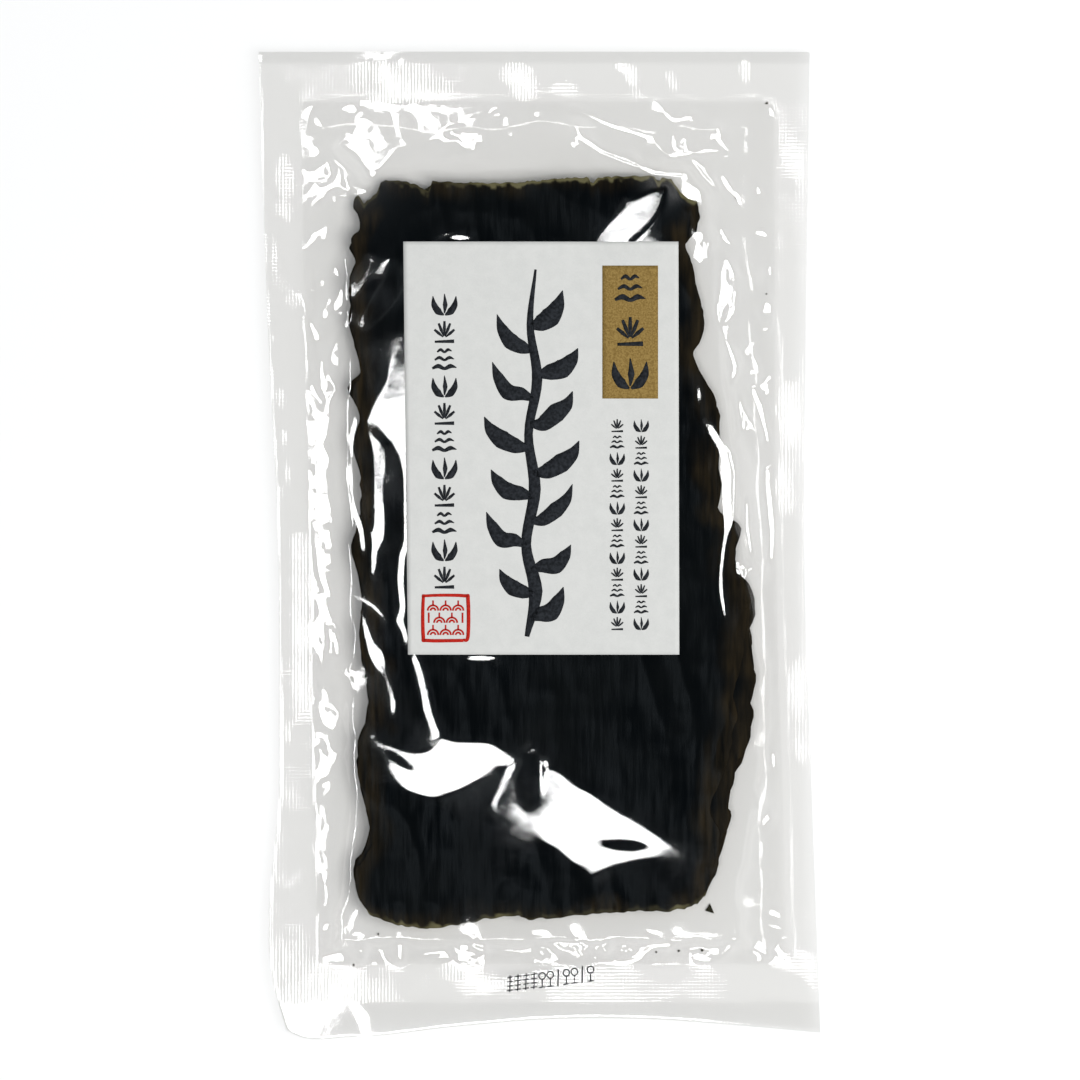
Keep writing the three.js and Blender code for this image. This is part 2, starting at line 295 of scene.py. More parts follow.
# Where the film catches the light. It is pulled tight in facets, each with the lamp it faces, how soft its
# border is and its outline, a closed curve through a few points.
FACETS = [
    ("left", 0.5, [
        (13.4, 76.5), (14.9, 79.3), (18.5, 82.8), (23.6, 86.9), (27.7, 89.7), (30.8, 90.8), (32.3, 91),
        (31.8, 87.2), (29.8, 83.6), (27, 80.5), (24.1, 78.2), (22.6, 76.2), (21.6, 74.2), (13.4, 74.2),
    ]),
    ("foot", 0.4, [(-23.9, 78.2), (-21.6, 79.3), (-18.8, 79), (-16, 78), (-18.3, 77.1), (-21.6, 77.1)]),
    ("left", 0.5, [
        (-34.4, 54.2), (-36.2, 49.6), (-37.9, 45.8), (-38.8, 41), (-41.3, 37.1), (-43.3, 33.5),
        (-44.3, 31.7), (-43.3, 27.4), (-42.3, 22.8), (-42, 15.6), (-42, 4.4), (-43.2, 2.9),
        (-42.7, -0.2), (-42.8, -8.1), (-41.8, -5.6), (-41.3, -1.2), (-39.6, 1.9), (-39.6, 7.7),
        (-40.3, 14.9), (-39.7, 19.5), (-39.4, 25.4), (-37.7, 26.4), (-35.4, 22.8), (-34.6, 19),
        (-33.3, 19), (-33.3, 54.2),
    ]),
    ("left", 0.4, [
        (-37, -19.3), (-34.9, -18.1), (-34.5, -20.9), (-33.5, -23.2), (-33.5, -27.9), (-31.7, -28.4),
        (-30, -31.8), (-29, -35.2), (-28, -40.3), (-26.7, -44.9), (-25.2, -48.2), (-23.6, -49.8),
        (-26.4, -50.3), (-27, -48.2), (-29.5, -42.3), (-30.5, -37.2), (-31.6, -32.6), (-33.1, -28.3),
        (-34.4, -24.7), (-35.5, -21.1),
    ]),
    ("left", 0.4, [
        (-45.8, -16.5), (-45.2, -19.6), (-44.3, -24.7), (-43.3, -28.6), (-42.1, -31), (-39.7, -32.7),
        (-39, -35.7), (-37.9, -38.8), (-37.9, -43.1), (-36.8, -42.6), (-36.6, -41.1), (-37.2, -38),
        (-38.2, -34.9), (-39, -32.1), (-39.6, -27.8), (-41.1, -26.7), (-42.5, -25.1), (-43.3, -22.4),
        (-44.5, -19.3),
    ]),
    ("foot", 0.4, [
        (-41.6, -48.9), (-39.2, -50.7), (-35.4, -52.4), (-31.6, -53.2), (-28.5, -52.8), (-26.8, -51.5),
        (-26.2, -49.5), (-24, -49.5), (-20.5, -50.1), (-14, -50.2), (-11.6, -50.9), (-9.6, -52.4),
        (-8.6, -54.4), (-7.3, -55.6), (-9.1, -56.9), (-11.1, -56.2), (-13.4, -58.6), (-17.5, -60.9),
        (-21.6, -63), (-25.8, -64.6), (-28.1, -64.7), (-31.6, -63.8), (-34.6, -62.4), (-36.9, -59.2),
        (-39.2, -55.1), (-41.3, -50.9),
    ]),
    ("foot", 0.6, [
        (2.1, -56.8), (3.3, -56.7), (5.3, -57.9), (7.7, -59.7), (10.1, -61.8), (13.5, -63.6),
        (20.1, -68.5), (25.2, -71.5), (29.4, -73.8), (32.3, -76.5), (34, -78.4), (30.3, -76.8),
        (30.3, -78.2), (29.7, -79.4), (24.7, -80.3), (19.4, -81.4), (15.3, -83.5), (12.4, -85.3),
        (12.1, -83.2), (10.3, -82), (7.7, -80.6), (5.3, -77.9), (2.9, -76.7), (0.6, -75), (0.5, -71.5),
        (1.5, -67.9), (2.1, -65), (1.7, -59.7),
    ]),
    ("left", 0.4, [
        (47.5, 24.8), (49.7, 23.2), (50.2, 20.9), (50.2, 13.1), (50, 8.4), (49.5, 5.7), (47.9, 1.3),
        (47.4, -2.5), (46.9, -8.4), (47, -12.5), (47.8, -18.4), (46.8, -18.4), (45.6, -12.5),
        (45.5, -8.4), (46, -2.5), (46.9, 3.6), (46.4, 9.3), (46.4, 15.1), (45.8, 18.2), (46.2, 20.9),
    ]),
    ("left", 1.2, [
        (40.9, 32.3), (44.1, 30.7), (45.6, 28.7), (47.1, 25.6), (47.5, 24.1), (46, 21.3), (45.6, 23.3),
        (44.4, 25.6), (42.5, 28.7),
    ]),
    ("left", 0.8, [(40, 40.8), (40.8, 40.2), (41.6, 38.4), (41.3, 36.9), (40, 35.8)]),
    ("corner", 0.4, [
        (-50.6, 102.8), (-47.1, 102.2), (-46.9, 104.3), (-44.7, 106.4), (-42.3, 107.9), (-40.5, 108.7),
        (-41.3, 110.4), (-45.9, 111.5), (-42.8, 112.5), (-37.2, 113), (-33.3, 113), (-29.5, 112.4),
        (-24.4, 112), (-17.8, 112.4), (-10.3, 112), (-13.9, 110.5), (-18.1, 109), (-22.4, 106.9),
        (-24.4, 105.8), (-26.4, 103.8), (-30.5, 102.2), (-32.8, 101.1), (-35.9, 101.1), (-38.7, 98.2),
        (-42.6, 93.2), (-45.1, 96.6), (-47.1, 99.5), (-49.7, 101),
    ]),
    ("left", 0.4, [
        (-60.4, 93.3), (-57.2, 95.4), (-55.1, 96.5), (-55.2, 94.3), (-57.7, 93.1), (-59.8, 92.6),
    ]),
    ("left", 0.4, [
        (-60.8, 98.2), (-60.8, 107.9), (-59.8, 110.5), (-58.9, 108.9), (-58.9, 105.3), (-57.1, 101.2),
        (-55.8, 100.2), (-57.1, 98.7), (-59.1, 101.8), (-59.7, 98.2),
    ]),
    ("corner", 0.4, [
        (-53.6, 101.1), (-52, 98), (-50.5, 97.2), (-48.4, 95.4), (-49, 93.6), (-48.1, 92.2),
        (-45.8, 91.5), (-43.7, 89.9), (-45.8, 89.7), (-48.4, 90.7), (-51.5, 91), (-53.5, 90.3),
        (-55.7, 88.9), (-58.5, 88.2), (-55.9, 89.9), (-54.1, 91.5), (-52.5, 93.8), (-52.4, 95.9),
    ]),
    ("foot", 0.4, [
        (-22.8, 105.6), (-20.2, 105.8), (-17.6, 105.1), (-13.2, 105.6), (-15.5, 104.3), (-17.1, 100.1),
        (-18.7, 100.6), (-20.5, 99.6), (-19.7, 102.2), (-20.2, 104.3),
    ]),
    ("foot", 0.3, [(-41.3, 126.3), (-36.2, 126.3), (-36.4, 122.2), (-38.2, 123.2), (-39.7, 124.5)]),
    ("left", 0.4, [(-52, 63.2), (-48.4, 65.9), (-49.2, 62.7), (-51.5, 61.4)]),
    ("left", 0.5, [
        (36.7, 93.8), (35.6, 90.8), (36.2, 88.7), (38.7, 87.2), (40, 87.2), (41.9, 88.2), (42.1, 89.7),
        (39.7, 91.3), (38.2, 93.3),
    ]),
    ("left", 0.4, [
        (40.5, 87.4), (39, 84.4), (38.3, 81.3), (38.6, 75.9), (37.8, 79.8), (38.2, 83.9), (39.5, 86.7),
    ]),
    ("left", 0.5, [
        (28.3, 106.6), (29.6, 105.3), (29.3, 102.3), (27.8, 99.1), (26.4, 97.4), (26.7, 101.2),
        (27.5, 104.8),
    ]),
    ("left", 0.4, [
        (46, 70.8), (47.3, 72.7), (47.9, 71.3), (47.9, 67.3), (49.4, 64.7), (48.9, 62.2), (47.1, 58.8),
        (46, 57.8), (45.2, 61.1), (45.5, 65.7),
    ]),
    ("corner", 0.3, [
        (-47.9, -100.3), (-45.2, -98.8), (-44.7, -98.3), (-45.2, -100.1), (-44.6, -101.4),
        (-44.5, -102.4), (-45.2, -105.1), (-46, -106.5), (-46.6, -103.9), (-47.7, -100.9),
    ]),
    ("left", 0.3, [(-35.8, -100.3), (-36.9, -102.9), (-35.8, -106.1), (-35.1, -106.1), (-35.2, -102.4)]),
    ("corner", 0.4, [(54.8, -101.9), (58, -101.9), (58, -104), (56.4, -106.1), (54.5, -104)]),
    ("corner", 0.4, [
        (59.6, -102.9), (61.7, -102.9), (63.7, -105.1), (65.3, -107.8), (61.7, -108), (58, -107.5),
        (60.1, -105.1),
    ]),
    ("foot", 0.4, [(39.2, -105.2), (41.8, -104.4), (44.8, -104.9), (44.1, -106.7), (41, -106.5)]),
    ("corner", 0.6, [
        (-47.1, -117), (-44.5, -118.6), (-43.2, -121), (-44.8, -122.3), (-45.2, -124.6), (-46.8, -121.6),
    ]),
]

# Narrow strands of film between two creases, each with its lamp, its width and the line that it runs along.
STRANDS = [
    ("foot", 1.6, [(-18.3, -29), (-11.4, -29)]),
    ("foot", 0.5, [(-3.2, -53.6), (-1, -51.8)]),
    ("left", 0.64, [
        (-33.9, 19), (-33.7, 6.2), (-33.9, 0.3), (-35.1, -3.6), (-35.5, -8.3), (-35.3, -12.2),
        (-34.7, -16.1), (-35.3, -18.6),
    ]),
    ("left", 0.4, [
        (-38.2, 72.7), (-43.2, 68.3), (-46.9, 62.2), (-49.4, 56.8), (-51.5, 51.7), (-52.7, 48.9),
        (-53.1, 46.1),
    ]),
    ("corner", 0.51, [(-47.4, -13.2), (-45.2, -14), (-42.1, -15.8), (-39.7, -18.6)]),
    ("left", 0.77, [(-7.3, -55.9), (-7.5, -57.4), (-9.3, -61.5), (-11.6, -66.4)]),
    ("left", 1.02, [(-46.6, 31.7), (-47.8, 27.8), (-48.7, 23.4), (-48.7, 19.5), (-48.4, 13.3)]),
    ("left", 0.64, [(-48.4, 13.3), (-47.8, 9.4), (-46.4, 6.2), (-45.2, 2.7), (-44.9, -1.2)]),
    ("left", 0.64, [
        (-54, 28.9), (-56.2, 25.9), (-56.8, 23.1), (-55.2, 19.5), (-55.6, 15.6), (-56.3, 12.6),
        (-56.2, 9.8), (-56, 3.9), (-55.8, -2), (-55.4, -5.5),
    ]),
    ("left", 0.51, [
        (-55.6, 40.2), (-54.5, 38.4), (-53.7, 37.9), (-54, 35.2), (-54.6, 32.8), (-56.8, 29.7),
        (-56.2, 26.6), (-55.2, 23.4),
    ]),
    ("foot", 0.51, [(-54.5, 38.4), (-53, 38.4), (-51.9, 39.9)]),
    ("left", 0.51, [(-55.3, 47.1), (-55.7, 43.2), (-54.6, 40.3)]),
    ("left", 0.64, [(-56, -1), (-56.2, -5.2), (-55.2, -8.6), (-53.7, -13)]),
    ("left", 0.64, [(-54, -16.8), (-54.6, -18.8), (-56, -20.2), (-56.2, -23.2)]),
    ("foot", 0.77, [(-54.4, -20), (-52.2, -20.6)]),
    ("left", 0.51, [(-53.5, -21.1), (-51.9, -24.7), (-51.3, -28.3)]),
    ("corner", 1.02, [(-50.2, -31.9), (-48.9, -33.4), (-47.4, -34.4), (-45.9, -33.4), (-44.3, -31.9)]),
    ("left", 1.02, [(-47.4, -34.4), (-47.4, -36.5)]),
    ("corner", 0.89, [(-56.2, -41.8), (-54.6, -45.4), (-52.7, -46.8), (-51.1, -43.1), (-53.5, -44.6)]),
    ("corner", 0.89, [(-55.8, -52.8), (-55.6, -55.6), (-54, -56.9), (-51.7, -53.8), (-53.5, -54.9)]),
    ("left", 1.02, [(-55.2, 8.5), (-54.3, 5.9)]),
    ("left", 1.02, [(-54.5, 3.4), (-53.3, -0.7)]),
    ("left", 0.64, [(-55.6, 67.3), (-51.5, 74)]),
    ("left", 0.77, [
        (-59.1, 64.4), (-56.8, 66.2), (-53.3, 66.7), (-52.8, 63.9), (-54.3, 59.9), (-55.3, 57.8),
    ]),
    ("left", 0.77, [(-58.6, 56.8), (-57.6, 54.7), (-56.4, 52.2)]),
    ("left", 0.51, [(-59.7, 75.2), (-57.5, 78.8), (-54, 81.3)]),
    ("foot", 0.64, [(-52.8, 88.7), (-45.4, 89.5), (-41.8, 91.3)]),
    ("left", 0.51, [(-60.9, 87.7), (-56.1, 90.8)]),
    ("left", 0.46, [(-57.5, 108.4), (-54.6, 105.8)]),
    ("left", 0.51, [(-60.7, 107.4), (-59.7, 110.2), (-57.9, 112)]),
    ("foot", 0.77, [
        (7.9, 111.1), (12.1, 109.5), (17.3, 107.1), (22.6, 105.3), (27.2, 104.1), (29.6, 102.2),
        (31.4, 100.1), (33.5, 98.8),
    ]),
    ("foot", 1.15, [
        (9.6, 106.4), (10.1, 103.8), (12.6, 102.5), (15.7, 100.1), (21, 98), (25.2, 96.5), (28.7, 94.9),
        (33.5, 94.1), (37.7, 94.1),
    ]),
    ("corner", 0.89, [(29.6, 113.1), (31.4, 110.5), (34, 107.9)]),
    ("foot", 0.77, [(34, 107.9), (36.7, 108.4), (39.2, 109.2)]),
    ("left", 0.64, [(30.4, 110.5), (30.1, 105.3)]),
    ("foot", 0.64, [(34, 99.3), (39.2, 99.8), (46, 100.4)]),
    ("left", 1.02, [(36.9, 103.3), (36.9, 99.6)]),
    ("corner", 1.53, [(39.2, 98), (41.3, 94.9), (44.7, 91.3)]),
    ("corner", 1.28, [(46.3, 93.6), (49.1, 89.7)]),
    ("left", 1.02, [(50.2, 89.5), (51.5, 86.6)]),
    ("corner", 0.77, [(45.5, 105.8), (45.1, 104.1), (46.5, 101.8), (48.7, 100.1)]),
    ("left", 0.77, [(46, 80.5), (47.3, 77.7), (48.4, 76.7)]),
    ("left", 0.77, [(41, 79.3), (40.5, 75.2), (39.5, 73), (41.8, 74), (43.4, 76.7)]),
    ("left", 0.64, [
        (47.8, 72.5), (49.2, 68.8), (49.7, 64.2), (48.9, 60), (47.9, 56.8), (47.3, 53.7), (46, 56.3),
        (45.1, 61),
    ]),
    ("foot", 0.64, [(48.9, 58.4), (52.2, 58.9), (54.8, 57.3), (58, 54.7)]),
    ("left", 0.64, [(57, 58.9), (58, 61.5), (58.8, 61.3), (58.5, 56.3), (57.5, 56.8)]),
    ("left", 1.02, [(59, 111), (59, 109.4)]),
    ("left", 1.02, [(55.9, 91), (55.9, 89.5)]),
    ("foot", 1.02, [(55.6, 79.3), (57.6, 79.3)]),
    ("corner", 0.77, [(51.7, 70.8), (54.3, 67.3)]),
    ("left", 0.77, [(58.6, 70.6), (58.9, 68.8)]),
    ("left", 0.77, [(47.4, 52.2), (48.7, 49.1), (50, 45.1), (48.7, 41.7)]),
    ("left", 0.64, [(52.2, 48.4), (54.3, 47.6), (55.8, 44.5)]),
    ("left", 1.28, [(56.8, 39.9), (58.4, 39.2)]),
    ("left", 0.77, [(54.3, 39.9), (56.3, 34.3), (57.6, 29.2), (58.4, 25.6)]),
    ("left", 0.51, [(51.2, 35.1), (53.3, 31.7), (55.6, 27.7)]),
    ("left", 0.51, [(51, 37.4), (52, 28.7)]),
    ("left", 0.64, [(52.8, 11.3), (53, 3.6), (54, -2.7)]),
    ("left", 1.02, [(57.9, 19), (58.6, 11.3), (59.4, 3.6), (59.1, -4)]),
    ("left", 0.77, [(50.2, -4.8), (50.5, -7.3), (52.2, -7.3), (54.3, -6.1)]),
    ("left", 1.02, [(59.4, -53.1), (59.9, -57.2)]),
    ("left", 0.64, [(54.8, -63.3), (55.6, -66.9)]),
    ("left", 0.77, [(58.4, -69.2), (56.8, -71)]),
    ("foot", 1.15, [
        (0.1, -109.3), (5.2, -108.5), (10.6, -107.8), (16.7, -106.6), (21, -107.4), (25.2, -105.6),
        (26.2, -104), (28.2, -102.4), (33.5, -101.9), (36.7, -100.3), (38.7, -99.8),
    ]),
    ("foot", 0.77, [(38.7, -99.8), (48.6, -99.6)]),
    ("foot", 0.77, [(27.2, -98.3), (31.3, -99.6), (35.6, -99.8), (37.7, -99.8)]),
    ("foot", 1.79, [(-15.5, -114.4), (-8.8, -111.8), (-0.9, -109.8), (5.2, -108.7)]),
    ("left", 0.51, [(50, -99.3), (49.7, -100.9), (47.1, -103.5), (45.5, -105.1)]),
    ("foot", 0.64, [(-22.4, -102.4), (-20.3, -104), (-14.4, -104.6)]),
    ("foot", 0.51, [(-21.6, -100.9), (-19.2, -100.1), (-16.6, -101.4), (-14.4, -103.5)]),
    ("corner", 0.77, [(-21.6, -102.6), (-20.2, -105.7), (-17.6, -108.8)]),
    ("left", 0.64, [(-14.4, -104.9), (-14.9, -107.8), (-16.5, -109)]),
    ("corner", 1.02, [(-17, -101.6), (-15.2, -103.2)]),
    ("foot", 1.02, [(-1.1, -99.1), (1.4, -98.8)]),
    ("foot", 0.51, [(1.4, -101.4), (7.9, -101.6), (12.6, -102.6)]),
    ("left", 0.51, [(8.5, -99.1), (11.1, -102.4), (10.1, -106.1)]),
    ("corner", 1.02, [(4.2, -102.4), (7.3, -103.4)]),
    ("left", 0.77, [(-0.9, -102.1), (0.6, -104.2)]),
    ("left", 0.77, [(16.7, -103.4), (17.5, -101.4)]),
    ("foot", 0.64, [(20.8, -102.3), (22.6, -102.1)]),
    ("foot", 0.77, [(58, -97), (61.4, -97.8)]),
    ("left", 0.46, [(-48.4, -99.8), (-47.9, -95.7), (-46.6, -93.2)]),
    ("left", 1.02, [(-50.2, -97.5), (-49.7, -99.3)]),
    ("left", 0.77, [(-53.8, -96.5), (-53.7, -96.8)]),
]

# Holes in the facets and gaps between them, where the film faces none of the lamps and stays dark:
# (x, y, half length, half width, turn, slope across, slope up).
HOLES = [
    (-40.9, 27.8, 2.7, 1.5, -35, 0, 0), (-38.9, 106.6, 1.7, 3.7, 0, 0, 0),
    (-33.2, 106.4, 2.2, 4.3, 5, 0, 0), (-25.8, 109.6, 1.5, 0.4, 0, 0, 0),
    (-43.2, 102.4, 0.8, 0.5, 20, 0, 0), (-35.6, -55.1, 4.1, 1.1, -38, 0, 0),
    (21.6, -76.6, 5.6, 1.5, -3, 0, 0), (-59.1, 100.2, 0.5, 1.5, 10, 0, 0),
    (-60, 106.9, 0.3, 2, 0, 0, 0), (-2.7, -61, 2.8, 7, -8, -0.02, 0.03), (-39.7, 62.4, 8, 3, 55, 0, 0),
    (-48.2, 65.5, 8, 2.4, 55, 0.02, 0),
]

# Sheens on the welds, which fade out all round: (lamp, x, y, half length across, half length up).
WELD_SHEENS = [
    ("corner", -37.9, 118.6, 3.6, 4.6), ("foot", -28, 114.3, 13.3, 1.8), ("left", -39.5, 121.2, 2, 2.6),
    ("corner", -5, 118.1, 6.6, 6.6), ("foot", 6.5, 116.1, 6.1, 3.1), ("corner", 23.6, 119.6, 3.1, 5.1),
    ("corner", 33.9, 118.1, 3.6, 3.6), ("left", 52.5, 121.2, 2.6, 5.1), ("corner", 20.1, 122.4, 2, 2.6),
    ("left", -64.8, 93.8, 4.3, 7.2), ("left", -65.5, 85.4, 4.1, 2.6), ("left", -67.6, 73.1, 1.5, 8.7),
    ("left", -67.8, 52.2, 0.8, 1.3), ("left", -66, 37.6, 2, 1.8), ("left", -65, 27.4, 1.5, 2.6),
    ("left", -64.3, 18.2, 1.3, 2.8), ("left", -66, 13.6, 1, 1.5), ("left", -60.9, -2, 3.6, 6.6),
    ("left", -60.4, -11.2, 4.3, 3.6), ("left", -60.4, -22.4, 4.6, 8.7), ("left", -60.4, -36.7, 3.6, 6.1),
    ("left", -64, -48.5, 1.5, 2.3), ("left", 65, 98.2, 3.3, 6.6), ("left", 59.4, 93.8, 1.3, 1.3),
    ("left", 64, 31.7, 4.6, 9.7), ("left", 62.5, 13.9, 3.6, 6.6), ("left", 66, -37.2, 3.1, 8.7),
    ("left", 66.8, -52.6, 2.3, 3.1), ("corner", 68.1, -106.2, 3.8, 3.1),
    ("corner", -45.6, -120, 1.5, 3.6), ("foot", 1.4, 126, 2.6, 2),
]

LABEL_LEFT = [(-28.2, -33.5), (77, -34.7)]
LABEL_RIGHT = [(-28, 35.6), (77.2, 35.4)]
LABEL_TOP = 77.1
LABEL_BOTTOM = -28.1
# How far inside its edge the label starts to keep the film flat and does so fully, and how firmly.
GLUED_FROM, GLUED_TO, GLUE_HOLD = 0.4, 3.5, 0.3


def turned(x, y, centre_x, centre_y, half_length, half_width, turn):
    """Coordinates along and across a turned ellipse, in shares of its half length and half width."""
    angle = np.radians(turn)
    along = (x - centre_x) * np.cos(angle) + (y - centre_y) * np.sin(angle)
    aside = (y - centre_y) * np.cos(angle) - (x - centre_x) * np.sin(angle)
    return along / half_length, aside / half_width


def crinkle(x, y):
    """Slack film between the weld and the stack: sharp-crested noise, and puckers along the weld line."""
    share = film_share(x, y)
    slack = ramp(0.0, 0.25, share) * (1 - ramp(0.7, 0.95, share))
    folds = np.abs(soft_noise(x + 0.4 * y, y, 9, 11)) - 0.4
    small = np.abs(soft_noise(x, y - 0.3 * x, 3.7, 12)) - 0.4
    seam = np.exp(-((share / 0.22) ** 2)) * ramp(-0.05, 0.05, share)
    pucker = soft_noise(x, y, 2.6, 13)
    return slack * (0.42 * folds + 0.16 * small) + 0.08 * seam * pucker


def cubic_steps(before, here, after, later, steps):
    """Smooth pieces from each point to the one after, bent by their neighbours, with that many steps each."""
    pieces = []
    for share in np.arange(steps) / steps:
        bend = (2 * before - 5 * here + 4 * after - later) * share**2
        twist = (3 * here - before - 3 * after + later) * share**3
        pieces.append(0.5 * (2 * here + (after - before) * share + bend + twist))
    return np.stack(pieces, 1).reshape(-1, 2)


def closed_curve(points):
    """A smooth closed curve through points."""
    here = np.array(points, float)
    return cubic_steps(np.roll(here, 1, 0), here, np.roll(here, -1, 0), np.roll(here, -2, 0), 5)


def line_distance(x, y, points):
    """The distance to a line of points, and how far along the line the nearest place is, from 0 to 1."""
    nearest = np.full_like(x, 1e9)
    travelled = np.zeros_like(x)
    lengths = np.hypot(*np.diff(points, axis=0).T)
    before = 0.0
    for (start_x, start_y), (end_x, end_y), length in zip(points[:-1], points[1:], lengths):
        way_x, way_y = (end_x - start_x) / length, (end_y - start_y) / length
        along = np.clip((x - start_x) * way_x + (y - start_y) * way_y, 0, length)
        distance = np.hypot(x - start_x - along * way_x, y - start_y - along * way_y)
        travelled = np.where(distance < nearest, (before + along) / lengths.sum(), travelled)
        nearest = np.minimum(nearest, distance)
        before += length
    return nearest, travelled


def depth_inside(x, y, outline):
    """How far a point lies inside a closed outline: a ray to the left crosses it an odd number of times."""
    distance, _ = line_distance(x, y, np.concatenate([outline, outline[:1]]))
    inside = np.zeros(x.shape, bool)
    for (start_x, start_y), (end_x, end_y) in zip(outline, np.roll(outline, -1, axis=0)):
        if start_y != end_y:
            crossing = start_x + (y - start_y) * (end_x - start_x) / (end_y - start_y)
            inside ^= ((start_y > y) != (end_y > y)) & (x < crossing)
    return np.where(inside, distance, -distance)


MAP_STEP = 0.5  # the film's height is worked out on a square grid and read off that for the mesh
MAP_X = np.arange(-80, 80, MAP_STEP)
MAP_Y = np.arange(-134, 134, MAP_STEP)
# How firmly the film keeps its slope outside the facets: where it is loose, over the stack and on the weld.
LOOSE_HOLD, STACK_HOLD, WELD_HOLD = 0.004, 0.12, 0.12
STIFFNESS = 0.00005  # how firmly it keeps its height, against its slope, per square millimetre
STRAND_EXCESS = 1.25  # a narrow strand gives way a little, so it asks for this many times the change
ROUNDS = 120
RIPPLE_DAMPING = 0.035  # square millimetres: smooths away ripples narrower than about a millimetre


def draw_film():
    """The front sheet's height over the map. Facets ask for a slope and the rest bends to meet them.

    The bend is the one whose slope comes nearest to what is asked, in the sense of least squares. Each
    round takes the asked slope where the film is held and its own slope where it is free, and finds the
    height with that slope by Fourier sums: minus i times the wave number over its square. Last, each wave
    is weakened by the exponential of minus the damping times its wave number squared.
    """
    x, y = np.meshgrid(MAP_X, MAP_Y)
    natural = tight_film(x, y) + crinkle(x, y)
    natural_y, natural_x = np.gradient(natural, MAP_STEP)
    want = [np.zeros_like(x), np.zeros_like(x)]
    share = film_share(x, y)
    above_label, at_foot = ramp(66, 76, y), 1 - ramp(-98, -78, y)
    lying = ramp(0.95, 1.1, share) * (1 - 0.85 * above_label + 1.5 * at_foot)
    hold = LOOSE_HOLD + STACK_HOLD * lying + WELD_HOLD * (1 - ramp(-0.1, 0.05, share))

    def ask(weight, slope_x, slope_y, where, firmness=1, excess=1):
        """Asks for a slope there, as a change from the natural one, by a weight from 0 to 1.

        An excess over 1 asks for more than the change, and firmness is how much of it a round takes.
        """
        want[0][where] = mix(want[0][where], excess * (slope_x - natural_x[where]), weight)
        want[1][where] = mix(want[1][where], excess * (slope_y - natural_y[where]), weight)
        hold[where] = np.maximum(hold[where], firmness * weight)

    def around(points, margin):
        """The part of the map round some points."""
        low = ((np.min(points, 0) - margin - (MAP_X[0], MAP_Y[0])) / MAP_STEP).astype(int)
        high = ((np.max(points, 0) + margin - (MAP_X[0], MAP_Y[0])) / MAP_STEP).astype(int)
        return slice(max(low[1], 0), high[1]), slice(max(low[0], 0), high[0])

    label_sides = [x - smooth_line(LABEL_LEFT, y), smooth_line(LABEL_RIGHT, y) - x]
    under_label = np.minimum.reduce([*label_sides, LABEL_TOP - y, y - LABEL_BOTTOM])
    flat_y, flat_x = np.gradient(plateau(x, y), MAP_STEP)
    everywhere = (slice(None), slice(None))
    ask(ramp(GLUED_FROM, GLUED_TO, under_label), flat_x, flat_y, everywhere, GLUE_HOLD)
    for lamp, centre_x, centre_y, half_across, half_up in WELD_SHEENS:
        half_size = np.array([half_across, half_up])
        where = around([(centre_x, centre_y) - half_size, (centre_x, centre_y) + half_size], 9)
        reach = np.hypot((x[where] - centre_x) / half_across, (y[where] - centre_y) / half_up)
        ask(0.9 - 0.9 * ramp(0.1, 1.3, reach), *mirror_slope(x[where], y[where], lamp), where)
    for lamp, softness, points in FACETS:
        outline = closed_curve(points)
        where = around(outline, 3)
        weight = ramp(-0.8 * softness, 0.8 * softness, depth_inside(x[where], y[where], outline))
        ask(weight, *mirror_slope(x[where], y[where], lamp), where)
    for lamp, width, points in STRANDS:
        where = around(points, 3)
        distance, travelled = line_distance(x[where], y[where], np.array(points, float))
        taper = 0.35 + 0.65 * np.sqrt(np.sin(np.pi * np.clip(travelled, 0.02, 0.98)))
        edge = 0.35 * width * taper + 0.08
        weight = 1 - ramp(edge, edge + 0.55, distance)
        ask(weight, *mirror_slope(x[where], y[where], lamp), where, excess=STRAND_EXCESS)
    for centre_x, centre_y, half_length, half_width, turn, slope_x, slope_y in HOLES:
        where = around([(centre_x, centre_y)], 1.5 * max(half_length, half_width))
        reach = np.hypot(*turned(x[where], y[where], centre_x, centre_y, half_length, half_width, turn))
        ask(1 - ramp(0.8, 1.15, reach), slope_x, slope_y, where)

    wave_y = 2j * np.pi * np.fft.fftfreq(len(MAP_Y), MAP_STEP)[:, None]
    wave_x = 2j * np.pi * np.fft.rfftfreq(len(MAP_X), MAP_STEP)[None, :]
    resistance = STIFFNESS - wave_x**2 - wave_y**2
    slope_x, slope_y = np.zeros_like(x), np.zeros_like(x)
    for _ in range(ROUNDS):
        asked_x = np.fft.rfft2(mix(slope_x, want[0], hold))
        asked_y = np.fft.rfft2(mix(slope_y, want[1], hold))
        bend = -(wave_x * asked_x + wave_y * asked_y) / resistance
        slope_x = np.fft.irfft2(wave_x * bend, s=x.shape)
        slope_y = np.fft.irfft2(wave_y * bend, s=x.shape)
    bend *= np.exp(RIPPLE_DAMPING * (wave_x**2 + wave_y**2))
    return natural + np.fft.irfft2(bend, s=x.shape) + 0.01 * soft_noise(x, y, 4.5, 21)


FILM_MAP = draw_film()


def front_film(x, y):
    """The front sheet's height anywhere: a cubic each way through the map's four nearest values."""
    column, row = (x - MAP_X[0]) / MAP_STEP, (y - MAP_Y[0]) / MAP_STEP
    j, i = np.floor(column).astype(int), np.floor(row).astype(int)

    def weights(share):
        return [
            share * (share * (1 - 0.5 * share) - 0.5),
            1 + share**2 * (1.5 * share - 2.5),
            share * (0.5 + share * (2 - 1.5 * share)),
            share**2 * (0.5 * share - 0.5),
        ]

    total = 0
    for up_step, up_weight in enumerate(weights(row - i)):
        for across_step, across_weight in enumerate(weights(column - j)):
            total = total + up_weight * across_weight * FILM_MAP[i - 1 + up_step, j - 1 + across_step]
    return total


